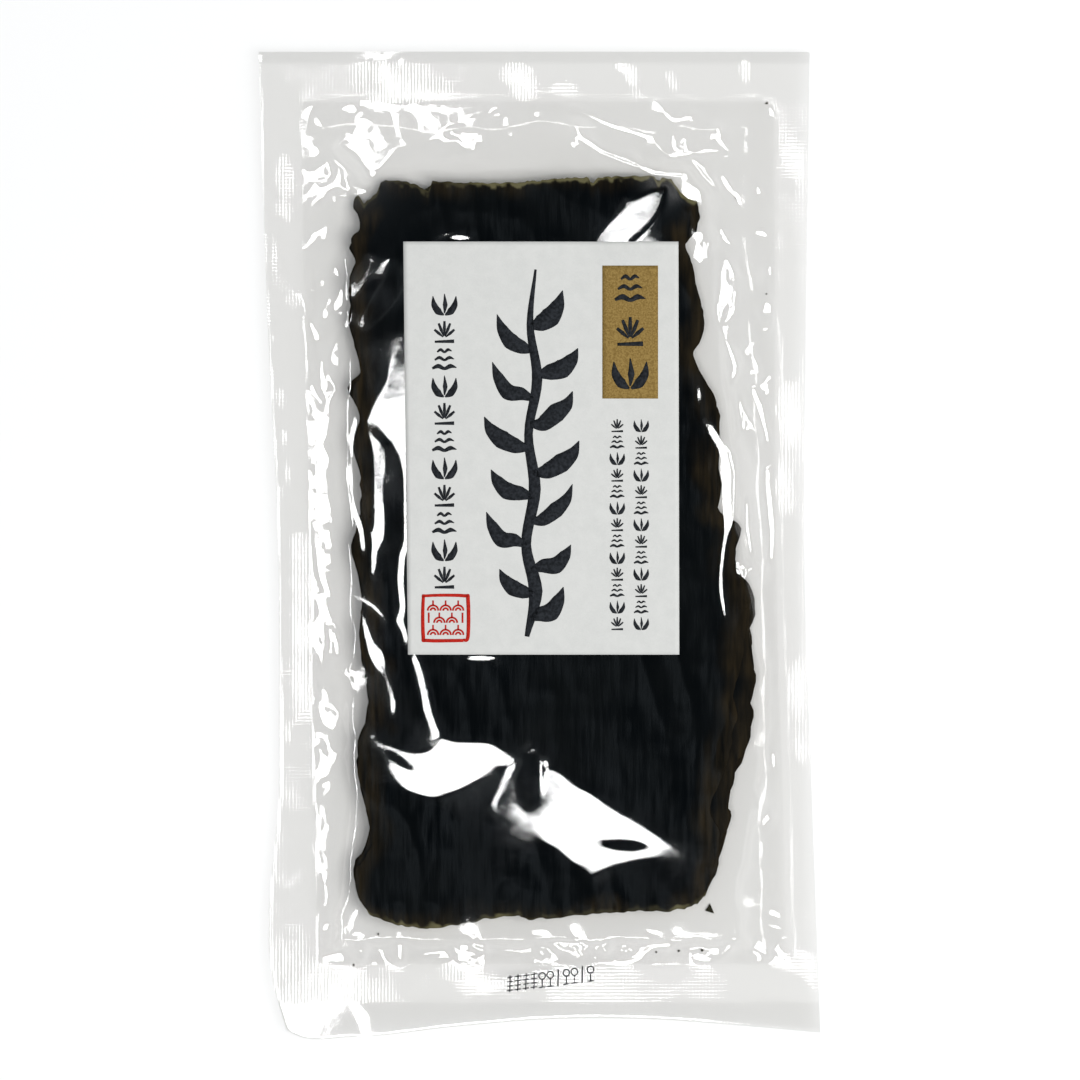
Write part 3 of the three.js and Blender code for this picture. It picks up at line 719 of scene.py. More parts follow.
def back_film(x, y):
    """The back sheet: against the front at the weld, flat on the table under the stack, slack between."""
    share = film_share(x, y)
    slack = ramp(0.0, 0.2, share) * (1 - ramp(0.7, 1.0, share))
    folds = np.abs(soft_noise(x - 0.3 * y, y, 8, 31))
    flat = 0.06 + 0.05 * soft_noise(x, y, 14, 32)
    at_front = front_film(x, y) - 2 * FILM_THICKNESS
    landing = 0.3 + 0.12 * soft_noise(x, y, 6, 33)
    height = mix(at_front, flat, rounded_step(share / landing, 0.12)) + 0.5 * slack * folds
    return np.minimum(height, at_front)


def spaced(stretches):
    """Shares from 0 to 1 whose steps differ by stretch: each stretch is (where it ends, how many steps)."""
    ends = [0.0] + [end for end, _ in stretches]
    parts = [
        np.linspace(start, end, steps, endpoint=False)
        for start, end, (_, steps) in zip(ends[:-1], ends[1:], stretches)
    ]
    return np.concatenate(parts + [[1.0]])


def make_mesh(name, points, faces, smooth=True):
    """A mesh object from points in millimetres and a list of faces of any number of corners."""
    mesh = bpy.data.meshes.new(name)
    mesh.from_pydata((np.asarray(points, float) * MM).tolist(), [], faces)
    mesh.polygons.foreach_set("use_smooth", np.full(len(mesh.polygons), smooth))
    mesh.update()
    piece = bpy.data.objects.new(name, mesh)
    scene.collection.objects.link(piece)
    return piece


def grid_faces(rows, columns, start=0):
    """Quads over a grid of points stored row by row from the top down, facing up."""
    index = start + np.arange((rows + 1) * (columns + 1)).reshape(rows + 1, columns + 1)
    corners = [index[:-1, :-1], index[1:, :-1], index[1:, 1:], index[:-1, 1:]]
    return np.stack(corners, -1).reshape(-1, 4)


# The front is divided finely, but coarsely under the label. The back has one cell for every four by four of
# the front's, and its outermost cells take in all the front's points along the edge.
COARSENESS = 4
ACROSS = spaced([(0.265, 84), (0.74, 60), (1.0, 84)])
DOWN = spaced([(0.2, 100), (0.61, 136), (0.875, 96), (1.0, 60)])


def pouch_place(across, down):
    """Shares across and down to a point of the pouch's outline patch. Its ends follow the foot's wave."""
    level = mix(TOP_EDGE, -TOP_EDGE, down)
    x = mix(smooth_line(LEFT_EDGE, level), smooth_line(RIGHT_EDGE, level), across)
    return x, mix(TOP_EDGE, smooth_line(FOOT_EDGE, x), down)


def make_pouch():
    """Front and back sheets as one closed skin: two grids over the same outline that share its edge."""
    rows, columns = len(DOWN) - 1, len(ACROSS) - 1
    across, down = np.meshgrid(ACROSS, DOWN)
    # Beside the label the columns crowd into the margins. Above it and below it they are even.
    beside_label = ramp(0.14, 0.19, down) * (1 - ramp(0.62, 0.67, down))
    across = mix(np.linspace(0, 1, columns + 1), across, beside_label)
    x, y = pouch_place(across, down)
    front = front_film(x, y)
    rim = np.ones_like(x, bool)
    rim[1:-1, 1:-1] = False
    front[rim] -= FILM_THICKNESS
    front_points = np.stack([x, y, front], -1).reshape(-1, 3)
    inner = (slice(COARSENESS, -1, COARSENESS), slice(COARSENESS, -1, COARSENESS))
    back_x, back_y = x[inner], y[inner]
    back_points = np.stack([back_x, back_y, back_film(back_x, back_y)], -1).reshape(-1, 3)
    fine = np.arange(front.size).reshape(front.shape)
    coarse = fine[::COARSENESS, ::COARSENESS].copy()
    coarse[1:-1, 1:-1] = front.size + np.arange(len(back_points)).reshape(back_x.shape)
    quads = np.stack([coarse[:-1, :-1], coarse[:-1, 1:], coarse[1:, 1:], coarse[1:, :-1]], -1)
    back_faces = quads[1:-1, 1:-1].reshape(-1, 4).tolist()
    last_row, last_column = rows // COARSENESS, columns // COARSENESS

    def rim_cell(row, column):
        """One outermost cell of the back, with the front's points along whichever sides are on the edge."""
        corners = [(row, column), (row, column + 1), (row + 1, column + 1), (row + 1, column)]
        cell = []
        for (i, j), (k, l) in zip(corners, corners[1:] + corners[:1]):
            on_edge = (i == k and i in (0, last_row)) or (j == l and j in (0, last_column))
            cell.append(coarse[i, j])
            if on_edge:
                steps = range(1, COARSENESS)
                cell += [fine[COARSENESS * i + (k - i) * s, COARSENESS * j + (l - j) * s] for s in steps]
        return [int(point) for point in cell]

    for row in range(last_row):
        edge_row = row in (0, last_row - 1)
        for column in range(last_column) if edge_row else (0, last_column - 1):
            back_faces.append(rim_cell(row, column))
    faces = grid_faces(rows, columns).tolist() + back_faces
    pouch = make_mesh("film", np.concatenate([front_points, back_points]), faces)
    at_rim = np.zeros(len(pouch.data.vertices), bool)
    at_rim[: rim.size] = rim.ravel()
    ends = np.array([edge.vertices[:] for edge in pouch.data.edges])
    sharp = pouch.data.attributes.new("sharp_edge", "BOOLEAN", "EDGE")
    sharp.data.foreach_set("value", at_rim[ends].all(axis=1))
    return pouch


def keep_mask(piece, name, values):
    """Keeps one number from 0 to 1 for each point of a piece, which its material reads by that name."""
    piece.data.attributes.new(name, "FLOAT", "POINT").data.foreach_set("value", values)


film = make_pouch()
x, y, _ = np.array([point.co for point in film.data.vertices]).T / MM
weld_share = 1 - ramp(-0.02, 0.03, film_share(x, y))
lip = np.maximum(ramp(122.2, 123.2, y), 1 - ramp(-117.4, -116.4, y))
keep_mask(film, "weld", weld_share * (1 - lip))


def new_material(name):
    """An empty material and the call that adds nodes to it."""
    material = bpy.data.materials.new(name)
    material.use_nodes = True
    material.node_tree.nodes.clear()
    return material, node_adder(material.node_tree)


def blend(add, share, first, second):
    """A mix of two colours by a share."""
    return add("ShaderNodeMix", share, *[None] * 5, first, second, data_type="RGBA").outputs[2]


def between(add, share, low, high, full=1.0):
    """From low to high as a share goes from 0 to full."""
    return add("ShaderNodeMapRange", share, From_Max=full, To_Min=low, To_Max=high).outputs[0]


def combine(add, operation, first, second=0.5):
    """Two numbers put together by one of the maths operations."""
    return add("ShaderNodeMath", first, second, operation=operation).outputs[0]


film_finish, add = new_material("clear_film")
place = add("ShaderNodeTexCoord").outputs["Object"]
axes = add("ShaderNodeSeparateXYZ", place).outputs
weld = add("ShaderNodeAttribute", attribute_name="weld").outputs["Fac"]

# The weld bars leave a fine woven print, two crossed waves, stronger in some places than in others.
PRINT_PITCH = 0.85
threads = []
for axis in "XY":
    turns = combine(add, "MULTIPLY", axes[axis], 2 * np.pi / (PRINT_PITCH * MM))
    threads.append(combine(add, "SINE", turns))
weave = combine(add, "ADD", *threads)
unevenness = add("ShaderNodeTexNoise", place, Scale=160.0, Detail=2.0).outputs["Fac"]
weld_print = combine(add, "MULTIPLY", combine(add, "MULTIPLY", weave, unevenness), weld)
pressed = add("ShaderNodeBump", Strength=1.0, Distance=0.00001, Height=weld_print).outputs[0]
ripple = add("ShaderNodeTexNoise", place, Scale=420.0, Detail=2.0).outputs["Fac"]
rippled = add("ShaderNodeBump", Strength=1.0, Distance=0.000012, Height=ripple, Normal=pressed).outputs[0]

# The film tints what is behind it, less where it is welded and more where it is seen at a slant.
tint = blend(add, weld, (0.938, 0.936, 0.93, 1), (0.955, 0.953, 0.948, 1))
slant = add("ShaderNodeLayerWeight", Blend=0.5).outputs["Facing"]
deeper_tint = blend(add, between(add, slant, 0.0, 1.0, full=0.5), tint, (0.91, 0.906, 0.898, 1))
clear = add("ShaderNodeBsdfTransparent", deeper_tint).outputs[0]

# It mirrors more at a slant too. The embossed weld mirrors less than smooth film, and so does a sheet that
# is seen from its inner side.
white = (1, 1, 1, 1)
shine = add("ShaderNodeBsdfGlossy", white, Roughness=0.09, Normal=rippled, distribution="BECKMANN")
facing = add("ShaderNodeLayerWeight", Blend=0.5, Normal=rippled).outputs["Facing"]
mirrored = between(add, combine(add, "POWER", facing, 4.5), 0.075, 0.8)
mirrored = combine(add, "MULTIPLY", mirrored, between(add, weld, 1.0, 0.6))
inner_side = add("ShaderNodeNewGeometry").outputs["Backfacing"]
mirrored = combine(add, "MULTIPLY", mirrored, between(add, inner_side, 1.0, 0.35))
skin = add("ShaderNodeMixShader", mirrored, clear, shine.outputs[0])
add("ShaderNodeOutputMaterial", skin.outputs[0])
film.data.materials.append(film_finish)
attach(film, "root")
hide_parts("bag")

# ---- The kelp ----
# Six blades of dried kelp, cut square at both ends and laid on each other. Their long sides are left as
# they grew, ruffled and thin, and are painted browner than the black middle, for light shining through
# their thin edges; the cut ends show olive flesh.

SHEET_COUNT = 6
SHEET_THICKNESS = 0.95
STACK_FOOT = 0.25  # the lowest blade lies this far above the table, on the back film
STACK_GAP = 0.14  # the film lies this far above the top blade
TOP_BLADE_CELLS = (220, 190)
LOWER_BLADE_CELLS = (120, 56)
# The outlines of the kelp's two sides as (place up, x) and of its two ends as (x, y).
BLADE_LEFT = [
    (-97, -42.5), (-94, -46), (-90.6, -47.2), (-87, -46.9), (-82, -44.4), (-77, -42.6), (-71, -43.6),
    (-64, -45.4), (-57, -46.4), (-51, -45.7), (-45, -43.5), (-38, -43.6), (-31, -44.4), (-24, -45.9),
    (-16, -44.9), (-9, -45.4), (-2, -47.3), (5, -45.6), (14, -45.4), (22, -46.1), (28, -47.4),
    (34, -45.6), (40, -48), (46, -45.9), (52, -46.4), (58, -47.6), (64, -48), (70, -48.6), (75, -46.8),
    (80, -48.3), (84.5, -45.8), (88, -45.8), (90, -46.6), (95, -46.6),
]
BLADE_RIGHT = [
    (-97, 42), (-93, 44.5), (-86, 47), (-80, 48.6), (-74, 47.4), (-68, 49.6), (-62, 52.4), (-56, 53.6),
    (-50, 54.8), (-44, 53.6), (-38, 55), (-32, 54.6), (-26, 54), (-20, 54.3), (-14, 53.2), (-8, 50.4),
    (-2, 49.6), (4, 50.8), (8, 46.4), (15, 45.6), (22, 45.4), (32, 45.8), (40, 44.8), (45, 42.4),
    (52, 39), (56, 40.6), (62, 42.2), (70, 40.2), (76, 38.6), (82, 37.6), (86, 39.4), (89, 40),
    (95, 40),
]
BLADE_TOP = [
    (-50, 89), (-46.4, 89.4), (-44.8, 87), (-41.5, 89.5), (-40.5, 92.6), (-36, 93), (-32.5, 92),
    (-30.3, 91), (-28.2, 89.8), (-27.4, 92.4), (-20, 92.2), (-10, 92), (0, 92.6), (6, 93.3),
    (12.5, 93.4), (13.4, 91.6), (14.6, 93.6), (24, 93.8), (29.4, 93.8), (30.3, 92), (31.2, 93.8),
    (33.6, 93), (36, 89.6), (39.6, 87.4), (44, 86),
]
BLADE_BOTTOM = [
    (-48, -90), (-46, -92.6), (-43.3, -94.4), (-38, -96.4), (-34, -97.4), (-28, -98), (-22, -97.2),
    (-12, -95.2), (-5, -94.6), (-3, -95.6), (4, -95.2), (16, -94), (26, -93.4), (33, -93.6),
    (38, -92.6), (42, -90.8), (46.5, -88), (50, -86),
]


def closed_body(x, y, top, bottom):
    """Points and faces of a thin body over a grid: a top and a bottom surface joined by a wall all round."""
    rows, columns = x.shape[0] - 1, x.shape[1] - 1
    upper = np.stack([x, y, top], -1).reshape(-1, 3)
    lower = np.stack([x, y, bottom], -1).reshape(-1, 3)
    index = np.arange(x.size).reshape(x.shape)
    rim = np.concatenate([index[:-1, 0], index[-1, :-1], index[:0:-1, -1], index[0, :0:-1]])
    beyond = np.roll(rim, -1)
    walls = np.stack([rim, rim + x.size, beyond + x.size, beyond], -1)
    faces = np.concatenate([grid_faces(rows, columns), grid_faces(rows, columns, x.size)[:, ::-1], walls])
    return np.concatenate([upper, lower]), faces


def blade_place(across, down, sheet):
    """Shares across and down to a point of one blade. Each blade has its own ruffles and its own shift."""
    level = mix(93.5, -96.5, down)
    own = sheet * 37.0
    depth = SHEET_COUNT - 1 - sheet
    left = smooth_line(BLADE_LEFT, level) + 0.45 * soft_noise(level, own + 0 * level, 2.1, 41)
    right = smooth_line(BLADE_RIGHT, level) + 0.45 * soft_noise(level, own + 0 * level, 2.1, 42)
    if depth == 0:
        right = right - 4.6 * ramp(16, 44, -level) * (1 - 0.6 * ramp(64, 92, -level))
    else:
        left = left + 1.1 * soft_noise(level, own + 0 * level, 6, 43) + (-0.3 if depth == 1 else 0.5)
        right = right + 1.3 * soft_noise(level, own + 0 * level, 7, 44) - (0.2 if depth == 1 else 0.8)
    x = mix(left, right, across)
    top = np.interp(x, *np.array(BLADE_TOP).T) + 0.3 * soft_noise(x, own + 0 * x, 0.8, 45)
    bottom = np.interp(x, *np.array(BLADE_BOTTOM).T) + 0.35 * soft_noise(x, own + 0 * x, 0.9, 46)
    if depth:
        top = top + 0.8 * soft_noise(x, own + 0 * x, 5, 47) - 0.7
        bottom = bottom + 0.8 * soft_noise(x, own + 0 * x, 5, 48) + 0.7
    return x, mix(top, bottom, down)


def under_film(x, y, clearance):
    """The highest a blade may reach: the lowest of the film here and 1.2 mm to each side, less a gap."""
    reach = 1.2
    shifts = [(0, 0), (reach, 0), (-reach, 0), (0, reach), (0, -reach)]
    return np.minimum.reduce([front_film(x + dx, y + dy) for dx, dy in shifts]) - clearance


def make_blade(sheet, cells):
    """One blade: thin at its rims, full inside, wavy, and stacked a sixth of the height above the last.

    Its cells narrow towards its rims as a cosine's steps do. It gives its points and faces, a mask of its
    sides, where brown is painted for light shining through the thin rims, and one of its olive cut ends.
    """
    rows, columns = cells
    across, down = np.meshgrid(*[
        0.5 - 0.5 * np.cos(np.pi * np.linspace(0.06, 0.94, steps + 1)) / np.cos(0.06 * np.pi)
        for steps in (columns, rows)
    ])
    x, y = blade_place(across, down, sheet)
    to_side = np.minimum(across, 1 - across) * 92
    to_end = np.minimum(down, 1 - down) * 190
    thickness = SHEET_THICKNESS * mix(0.3, 1, ramp(0, 5, to_side)) * mix(0.75, 1, ramp(0, 1.5, to_end))
    pitch = (PLATEAU_HEIGHT - STACK_GAP - STACK_FOOT) / SHEET_COUNT
    wave = 0.14 * soft_noise(x, y + 31 * sheet, 9, 51) + 0.1 * soft_noise(x, y, 23, 52)
    curl = (1 - ramp(0, 4, to_side)) * 0.5 * soft_noise(y, 0 * y + 9 * sheet, 7, 53)
    middle = STACK_FOOT + pitch * (sheet + 0.5) + wave + curl
    top = middle + thickness / 2
    if sheet == SHEET_COUNT - 1:
        grain = 0.05 * soft_noise(x, y / 6, 1.1, 54) + 0.04 * soft_noise(x, y, 5, 55) - 0.05
        folds = np.abs(soft_noise(x + 0.25 * y, y / 2.4, 8, 59))
        folds = folds + 0.5 * np.abs(soft_noise(x - 0.3 * y, y / 1.5, 4.5, 60))
        top = np.minimum(top + 0.2, under_film(x, y, STACK_GAP - 0.05)) + grain - 0.42 * folds
    else:
        top = np.minimum(top, under_film(x, y, 0.5 + (SHEET_COUNT - 1 - sheet) * 0.6))
    bottom = np.maximum(top - thickness, 0.14)
    points, faces = closed_body(x, y, np.maximum(top, bottom + 0.1), bottom)
    # Where brown is painted near the blade's sides and ends, for light shining through its thin rims.
    side = 1 - ramp(0.5, 7, np.minimum(to_side, to_end + 2) + 2.5 * soft_noise(x, y, 6, 56))
    olive_at_top = 0.35 + 0.9 * ramp(-20, -12, x)
    olive_at_foot = 0.2 + 0.9 * ramp(-0.3, 0.7, soft_noise(x, y, 5, 58))
    olive = np.where(down < 0.5, olive_at_top, olive_at_foot)
    cut = olive * (1 - ramp(0.3, 1.3, to_end + 0.9 * soft_noise(x, y, 1.3, 57)))
    return points, faces, np.tile(side.ravel(), 2), np.tile(cut.ravel(), 2)


# The effect that the blades and the crumbs share: near-black flesh with lengthwise grain, and rims painted
# browner for light shining through them.
grain_group = bpy.data.node_groups.new("kelp_grain", "ShaderNodeTree")
for way, sockets in (
    ("INPUT", {"Vector": "Vector", "Rim": "Float", "Cut": "Float"}),
    ("OUTPUT", {"Color": "Color", "Roughness": "Float", "Height": "Float"}),
):
    for name, kind in sockets.items():
        grain_group.interface.new_socket(name=name, in_out=way, socket_type=f"NodeSocket{kind}")
add = node_adder(grain_group)
given = add("NodeGroupInput").outputs
stretched = add("ShaderNodeMapping", given["Vector"], Scale=(1, 0.12, 1)).outputs[0]
lengthwise = add("ShaderNodeTexNoise", stretched, Scale=700, Detail=5).outputs["Fac"]
clouds = add("ShaderNodeTexNoise", given["Vector"], Scale=70, Detail=4).outputs["Fac"]
flesh = colour_ramp(add, clouds, [(0.35, (0.0005, 0.001, 0.0015)), (0.75, (0.0026, 0.0031, 0.0031))])
# Brown painted on the thin rims, streaked along the grain, for light shining through them.
painted_rim_glow = colour_ramp(add, lengthwise, [(0.3, (0.004, 0.0034, 0.0022)), (0.8, (0.03, 0.021, 0.0095))])
uncut = blend(add, given["Rim"], flesh, painted_rim_glow)
add(
    "NodeGroupOutput",
    blend(add, given["Cut"], uncut, (0.14, 0.127, 0.064, 1)),
    between(add, clouds, 0.2, 0.4),
    combine(add, "ADD", lengthwise, clouds),
)


def kelp_finish(name, bump):
    """A kelp material around the shared grain, with the rim and cut masks read from the mesh."""
    material, add = new_material(name)
    place = add("ShaderNodeTexCoord").outputs["Object"]
    masks = [add("ShaderNodeAttribute", attribute_name=mask).outputs["Fac"] for mask in ("rim", "cut")]
    grain = add("ShaderNodeGroup", place, *masks, node_tree=grain_group).outputs
    surface = add(
        "ShaderNodeBsdfPrincipled",
        grain["Color"],
        Roughness=grain["Roughness"],
        Specular_IOR_Level=0.04,
        Specular_Tint=(0.78, 0.9, 1.0, 1),
        Normal=add("ShaderNodeBump", Strength=1.0, Distance=bump, Height=grain["Height"]).outputs[0],
    )
    add("ShaderNodeOutputMaterial", surface.outputs[0])
    return material


dried_kelp = kelp_finish("dried_kelp", 0.00009)
for sheet in range(SHEET_COUNT):
    cells = TOP_BLADE_CELLS if sheet == SHEET_COUNT - 1 else LOWER_BLADE_CELLS
    points, faces, rim, cut = make_blade(sheet, cells)
    blade = make_mesh(f"kelp_blade_{sheet + 1}", points, faces.tolist())
    keep_mask(blade, "rim", rim)
    keep_mask(blade, "cut", cut)
    blade.data.materials.append(dried_kelp)
    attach(blade, "root")

# ---- The crumbs ----
# Chips broken off the blades' ends, lying loose on the back film near the corners of the pouch: flat,
# three- to five-sided and thinner at one edge.

# Each chip: x, y, how far its corners reach and how many corners it has.
CRUMBS = [
    (43.8, -93.2, 1.5, 3), (29.8, -104.2, 0.3, 4), (35.6, -103.9, 0.35, 5), (41.5, -103.7, 0.4, 4),
    (45.3, -104.2, 0.25, 3), (-47.4, -107.2, 0.35, 4), (57.9, 112.5, 0.5, 3), (57.9, 63.9, 0.3, 4),
    (-41.2, -99.6, 0.3, 4), (50.2, 88.4, 0.3, 3),
]
chance = np.random.default_rng(81)
crumb_points, crumb_faces = [], []
for centre_x, centre_y, radius, corners in CRUMBS:
    angle = np.radians(200) + 2 * np.pi * (np.arange(corners) + chance.uniform(-0.2, 0.2, corners)) / corners
    reach = radius * chance.uniform(0.75, 1.15, corners)
    x, y = centre_x + reach * np.cos(angle), centre_y + reach * np.sin(angle)
    lies_on = back_film(np.array([centre_x]), np.array([centre_y]))[0]
    foot = np.full(corners, lies_on) + 0.1
    first = sum(len(part) for part in crumb_points)
    crumb_points.append(np.stack([x, y, foot], -1))
    crumb_points.append(np.stack([x, y, foot + 0.25 + 0.25 * chance.uniform(0, 1, corners)], -1))
    lower = list(range(first, first + corners))
    upper = [point + corners for point in lower]
    crumb_faces += [lower[::-1], upper]
    for here in range(corners):
        beyond = (here + 1) % corners
        crumb_faces.append([lower[here], lower[beyond], upper[beyond], upper[here]])
crumbs = make_mesh("kelp_crumbs", np.concatenate(crumb_points), crumb_faces, smooth=False)
# The chips take a little of the rims' painted brown, for light through thin kelp, and of the cut ends' olive.
for mask in ("rim", "cut"):
    keep_mask(crumbs, mask, np.full(len(crumbs.data.vertices), 0.15))
crumbs.data.materials.append(kelp_finish("kelp_chip", 0.00005))
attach(crumbs, "root")

# ---- The label ----
# A sheet of uncoated paper, 70 x 105 mm, glued on the front of the pouch and following the film under it.
# It is matte and slightly mottled, with long fibres in it.

LABEL_THICKNESS = 0.1
PAPER_LIFT = 0.06


def paper_top(x, y):
    """The paper's upper side: the film under it, evened out over 2 mm, and the paper's own thickness."""
    reach = 2.0
    shifts = [(0, 0), (reach, 0), (-reach, 0), (0, reach), (0, -reach)]
    lying = sum(front_film(x + dx, y + dy) for dx, dy in shifts) / len(shifts)
    return np.maximum(lying, front_film(x, y)) + PAPER_LIFT + LABEL_THICKNESS


label_across, label_down = np.meshgrid(np.linspace(0, 1, 61), np.linspace(0, 1, 91))
label_y = mix(LABEL_TOP, LABEL_BOTTOM, label_down)
label_x = mix(smooth_line(LABEL_LEFT, label_y), smooth_line(LABEL_RIGHT, label_y), label_across)
label_top = paper_top(label_x, label_y)
label_points, label_faces = closed_body(label_x, label_y, label_top, label_top - LABEL_THICKNESS)
label = make_mesh("label_paper", label_points, label_faces.tolist())

paper_finish, add = new_material("label_paper")
place = add("ShaderNodeTexCoord").outputs["Object"]
cloudy = add("ShaderNodeTexNoise", place, Scale=330.0, Detail=4.0).outputs["Fac"]
fibres = add("ShaderNodeTexNoise", place, Scale=1700.0, Detail=3.0, Distortion=1.5).outputs["Fac"]
tone = combine(add, "ADD", cloudy, fibres)
mottled = [(0.38, (0.6, 0.605, 0.59)), (0.62, (0.642, 0.645, 0.629))]
paper = add(
    "ShaderNodeBsdfPrincipled",
    colour_ramp(add, combine(add, "MULTIPLY", tone, 0.5), mottled),
    Roughness=0.92,
    Specular_IOR_Level=0.12,
    Normal=add("ShaderNodeBump", Strength=0.6, Distance=0.00003, Height=tone).outputs[0],
)
add("ShaderNodeOutputMaterial", paper.outputs[0])
label.data.materials.append(paper_finish)
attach(label, "root")
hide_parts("label")

# ---- The print ----
# What is printed on the label: in black ink a brushed frond of kelp, a column of small marks to its left and
# two fine ones to its right, a panel of gold ink and a red seal. Each mark is a thin layer of ink.

INK_LIFT = 0.004
INK_THICKNESS = 0.026
OVER_PANEL = INK_LIFT + INK_THICKNESS + 0.004


def stroke(points, half_widths, lift=INK_LIFT, ground=paper_top, steps=6):
    """A brush stroke: a ribbon along a smooth curve through points, its half width eased along it."""
    here = np.array(points, float)
    padded = np.concatenate([2 * here[:1] - here[1:2], here, 2 * here[-1:] - here[-2:-1]])
    line = cubic_steps(padded[:-3], padded[1:-2], padded[2:-1], padded[3:], steps)
    line = np.concatenate([line, here[-1:]])
    half = np.interp(np.linspace(0, 1, len(line)), np.linspace(0, 1, len(half_widths)), half_widths)
    way_x, way_y = np.gradient(line, axis=0).T
    length = np.hypot(way_x, way_y)
    across = np.array([-1.0, 0.0, 1.0])
    x = line[:, :1] - (way_y / length * half)[:, None] * across
    y = line[:, 1:] + (way_x / length * half)[:, None] * across
    low = ground(x, y) + lift
    return closed_body(x, y, low + INK_THICKNESS, low)


def ring(centre_x, centre_y, radius, half_width, ground=paper_top, turns=1.0):
    """A round stroke, starting at the right and going round by that many turns."""
    angle = 2 * np.pi * turns * np.linspace(0, 1, 9)
    points = np.stack([centre_x + radius * np.cos(angle), centre_y + radius * np.sin(angle)], -1)
    return stroke(points, [half_width] * 2, ground=ground, steps=3)


def leaf_pair(centre_x, centre_y, size, lift=INK_LIFT):
    """Two leaves that part from one foot, with a bud between them."""
    marks = []
    for side in (-1, 1):
        leaf = [(0.05, -0.85), (0.5, -0.55), (0.85, 0.0), (0.95, 0.7)]
        places = [(centre_x + side * size * across, centre_y + size * up) for across, up in leaf]
        marks.append(stroke(places, [0.06 * size, 0.3 * size, 0.24 * size, 0.03 * size], lift))
    bud = [(0, -0.7), (0.06, 0), (0, 0.9)]
    bud = [(centre_x + size * across, centre_y + size * up) for across, up in bud]
    return marks + [stroke(bud, [0.05 * size, 0.2 * size, 0.03 * size], lift)]


def wavelets(centre_x, centre_y, size, lift=INK_LIFT):
    """Three wavy strokes above each other, the lowest the widest."""
    marks = []
    for up, reach, weight in ((0.65, 0.6, 0.13), (0.0, 0.8, 0.14), (-0.7, 1.0, 0.19)):
        way = [(-1, -0.05), (-0.5, 0.14), (0, -0.06), (0.5, 0.14), (1, 0.02)]
        places = [(centre_x + size * reach * along, centre_y + size * (up + rise)) for along, rise in way]
        half_widths = [0.5 * weight * size, weight * size, 0.7 * weight * size, weight * size, 0.1]
        marks.append(stroke(places, half_widths, lift))
    return marks


def shell(centre_x, centre_y, size, lift=INK_LIFT):
    """Five ribs that fan out from one foot, with a bar under them."""
    marks = []
    for angle in np.radians([150, 120, 90, 60, 30]):
        tip = (centre_x + 0.95 * size * np.cos(angle), centre_y - 0.5 * size + 1.4 * size * np.sin(angle))
        start = (mix(centre_x, tip[0], 0.12), mix(centre_y - 0.5 * size, tip[1], 0.12))
        middle = (mix(start[0], tip[0], 0.5), mix(start[1], tip[1], 0.5))
        marks.append(stroke([start, middle, tip], [0.04 * size, 0.13 * size, 0.09 * size], lift))
    foot = [(centre_x - 0.8 * size, centre_y - 0.8 * size), (centre_x + 0.8 * size, centre_y - 0.76 * size)]
    return marks + [stroke(foot, [0.09 * size, 0.15 * size], lift)]


def print_piece(name, bodies, finish):
    """One piece of ink from several closed bodies."""
    starts = np.cumsum([0] + [len(points) for points, _ in bodies[:-1]])
    faces = np.concatenate([faces + start for start, (_, faces) in zip(starts, bodies)])
    piece = make_mesh(name, np.concatenate([points for points, _ in bodies]), faces.tolist())
    piece.data.materials.append(finish)
    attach(piece, "root")


def ink(name, thin, thick, scale, roughness):
    """Ink that lies in a mottled coat, between two colours."""
    material, add = new_material(name)
    place = add("ShaderNodeTexCoord").outputs["Object"]
    mottle = add("ShaderNodeTexNoise", place, Scale=scale, Detail=5.0, Roughness=0.65).outputs["Fac"]
    surface = add(
        "ShaderNodeBsdfPrincipled",
        colour_ramp(add, mottle, [(0.4, thin), (0.6, thick)]),
        Roughness=roughness,
        Specular_IOR_Level=0.1,
        Normal=add("ShaderNodeBump", Strength=0.5, Distance=0.00002, Height=mottle).outputs[0],
    )
    add("ShaderNodeOutputMaterial", surface.outputs[0])
    return material


# The frond: a wavy stalk with thirteen blades, to the left and the right in turn, lengthening to the middle.
black = []
STALK = [(-3.2, -23.5), (-1, -12), (-3.4, 0), (-1.2, 14), (-2.8, 28), (-0.6, 42), (-2.4, 56), (-1.0, 70)]
black.append(stroke(STALK, [0.6, 1.8, 1.25, 1.55, 1.1, 1.35, 0.9, 0.3]))
stalk_x, stalk_y = np.array(STALK).T
sway = np.random.default_rng(71)
for blade in range(13):
    foot_y = -19 + 6.2 * blade
    foot_x = np.interp(foot_y, stalk_y, stalk_x)
    side = -1 if blade % 2 else 1
    reach = 11.6 * (0.72 + 0.28 * np.sin(np.pi * (blade + 1) / 14)) * sway.uniform(0.9, 1.02)
    rise = sway.uniform(5.5, 8.5)
    bend = sway.uniform(-0.8, 0.8)
    way = [
        (0, 0), (0.3 * reach, 0.1 * rise + bend), (0.62 * reach, 0.32 * rise - bend),
        (0.86 * reach, 0.7 * rise), (reach, 1.15 * rise),
    ]
    weight = sway.uniform(0.85, 1.15)
    half_widths = np.array([0.6, 1.85, 2.3, 1.5, 0.08]) * weight
    black.append(stroke([(foot_x + side * out, foot_y + up) for out, up in way], half_widths, steps=10))

MOTIFS = [leaf_pair, wavelets, shell]
for mark in range(11):
    black += MOTIFS[mark * 2 % 3](-24.2, 61 - 6.95 * mark, 3.1)
for column_x, first in ((25.9, 0), (19.8, 1)):
    for mark in range(13):
        black += MOTIFS[(mark + first) * 2 % 3](column_x, 30.2 - 4.2 * mark, 1.85)
black += wavelets(23.1, 65.2, 3.9, OVER_PANEL)
black += shell(23.1, 54.2, 4.1, OVER_PANEL)
black += leaf_pair(23.1, 43.4, 4.4, OVER_PANEL)
black_ink = ink("black_ink", (0.009, 0.0105, 0.0125), (0.024, 0.027, 0.032), 1300.0, 0.6)
print_piece("print_black", black, black_ink)

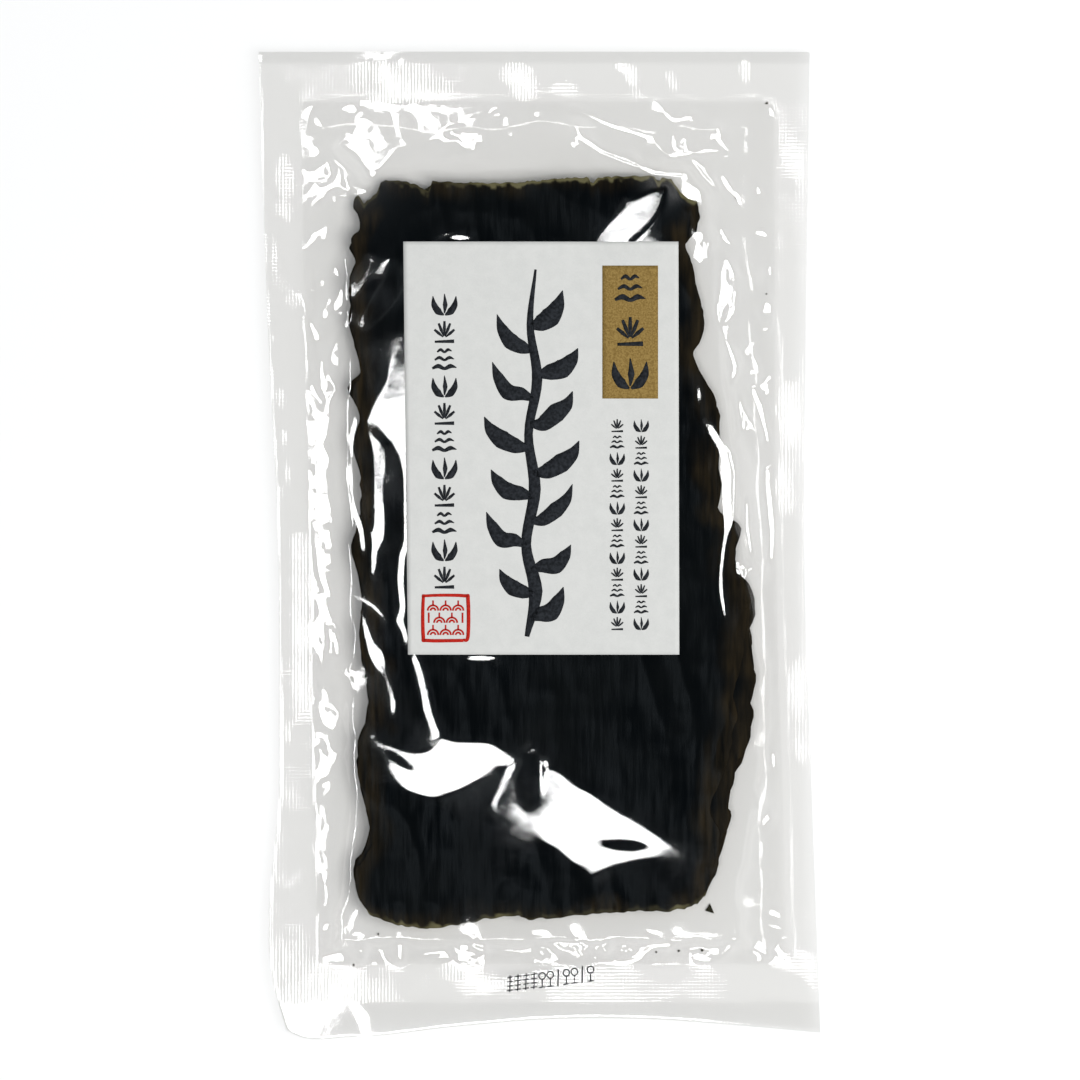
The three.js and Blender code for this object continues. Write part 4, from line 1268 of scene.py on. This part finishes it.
panel_x, panel_y = np.meshgrid(np.linspace(16, 30.2, 13), np.linspace(71, 37.1, 29))
panel_low = paper_top(panel_x, panel_y) + INK_LIFT
panel = closed_body(panel_x, panel_y, panel_low + INK_THICKNESS, panel_low)
gold_ink = ink("gold_ink", (0.19, 0.118, 0.03), (0.3, 0.2, 0.062), 2200.0, 0.45)
print_piece("print_gold", [panel], gold_ink)

# The seal: a rounded frame filled with three rows of nested arches under short uprights.
SEAL_X, SEAL_Y, SEAL_HALF = -23.9, -18.8, 5.7
corner = SEAL_HALF - 1.1
frame_line = [
    (corner, -SEAL_HALF), (SEAL_HALF, -corner), (SEAL_HALF, corner), (corner, SEAL_HALF),
    (-corner, SEAL_HALF), (-SEAL_HALF, corner), (-SEAL_HALF, -corner), (-corner, -SEAL_HALF),
    (corner, -SEAL_HALF),
]
frame_places = [(SEAL_X + across, SEAL_Y + up) for across, up in frame_line]
red = [stroke(frame_places, [0.42, 0.5, 0.36, 0.48, 0.42])]
for row in range(3):
    arch_y = SEAL_Y - 4.3 + 3.1 * row
    for side in (-1, 0, 1) if row != 1 else (-0.5, 0.5):
        arch_x = SEAL_X + 3.2 * side
        for radius in (1.35, 0.62):
            red.append(ring(arch_x, arch_y, radius, 0.24, turns=0.5))
        red.append(stroke([(arch_x, arch_y + 1.3), (arch_x, arch_y + 2.6)], [0.24, 0.2]))
for side in (-4.3, 4.3):
    red.append(stroke([(SEAL_X + side, SEAL_Y - 1.2), (SEAL_X + side, SEAL_Y + 1.4)], [0.24, 0.24]))
red_ink = ink("red_ink", (0.36, 0.012, 0.007), (0.52, 0.022, 0.012), 1500.0, 0.55)
print_piece("print_red", red, red_ink)

# The row of marks stamped on the bottom weld, rising to the right: filled bars, then open rings and ticks.
stamp = []
for mark in range(11):
    left = -8.4 + 2.05 * mark
    foot = -114.3 + 0.13 * (left + 8.4)
    upright = [(left + 0.8, foot + 0.1), (left + 0.9, foot + 4.4)]
    if mark < 4:
        strokes = [(upright, 0.15)]
        for bar in range(4):
            ends = [(left + 0.1 * (bar % 2), foot + 0.5 + 1.1 * bar), (left + 1.65, foot + 0.7 + 1.1 * bar)]
            strokes.append((ends, 0.14))
    elif mark % 3 == 0:
        strokes = [(upright, 0.18)]
    else:
        stamp.append(ring(left + 0.9, foot + 3.2, 0.85, 0.16, ground=front_film))
        stem = [(left + 0.9, foot + 2.3), (left + 0.9, foot + 0.4)]
        bar = [(left + 0.1, foot + 0.2), (left + 1.7, foot + 0.4)]
        strokes = [(stem, 0.16), (bar, 0.16)]
    stamp += [stroke(ends, [half_width] * 2, ground=front_film) for ends, half_width in strokes]
print_piece("print_stamp", stamp, black_ink)
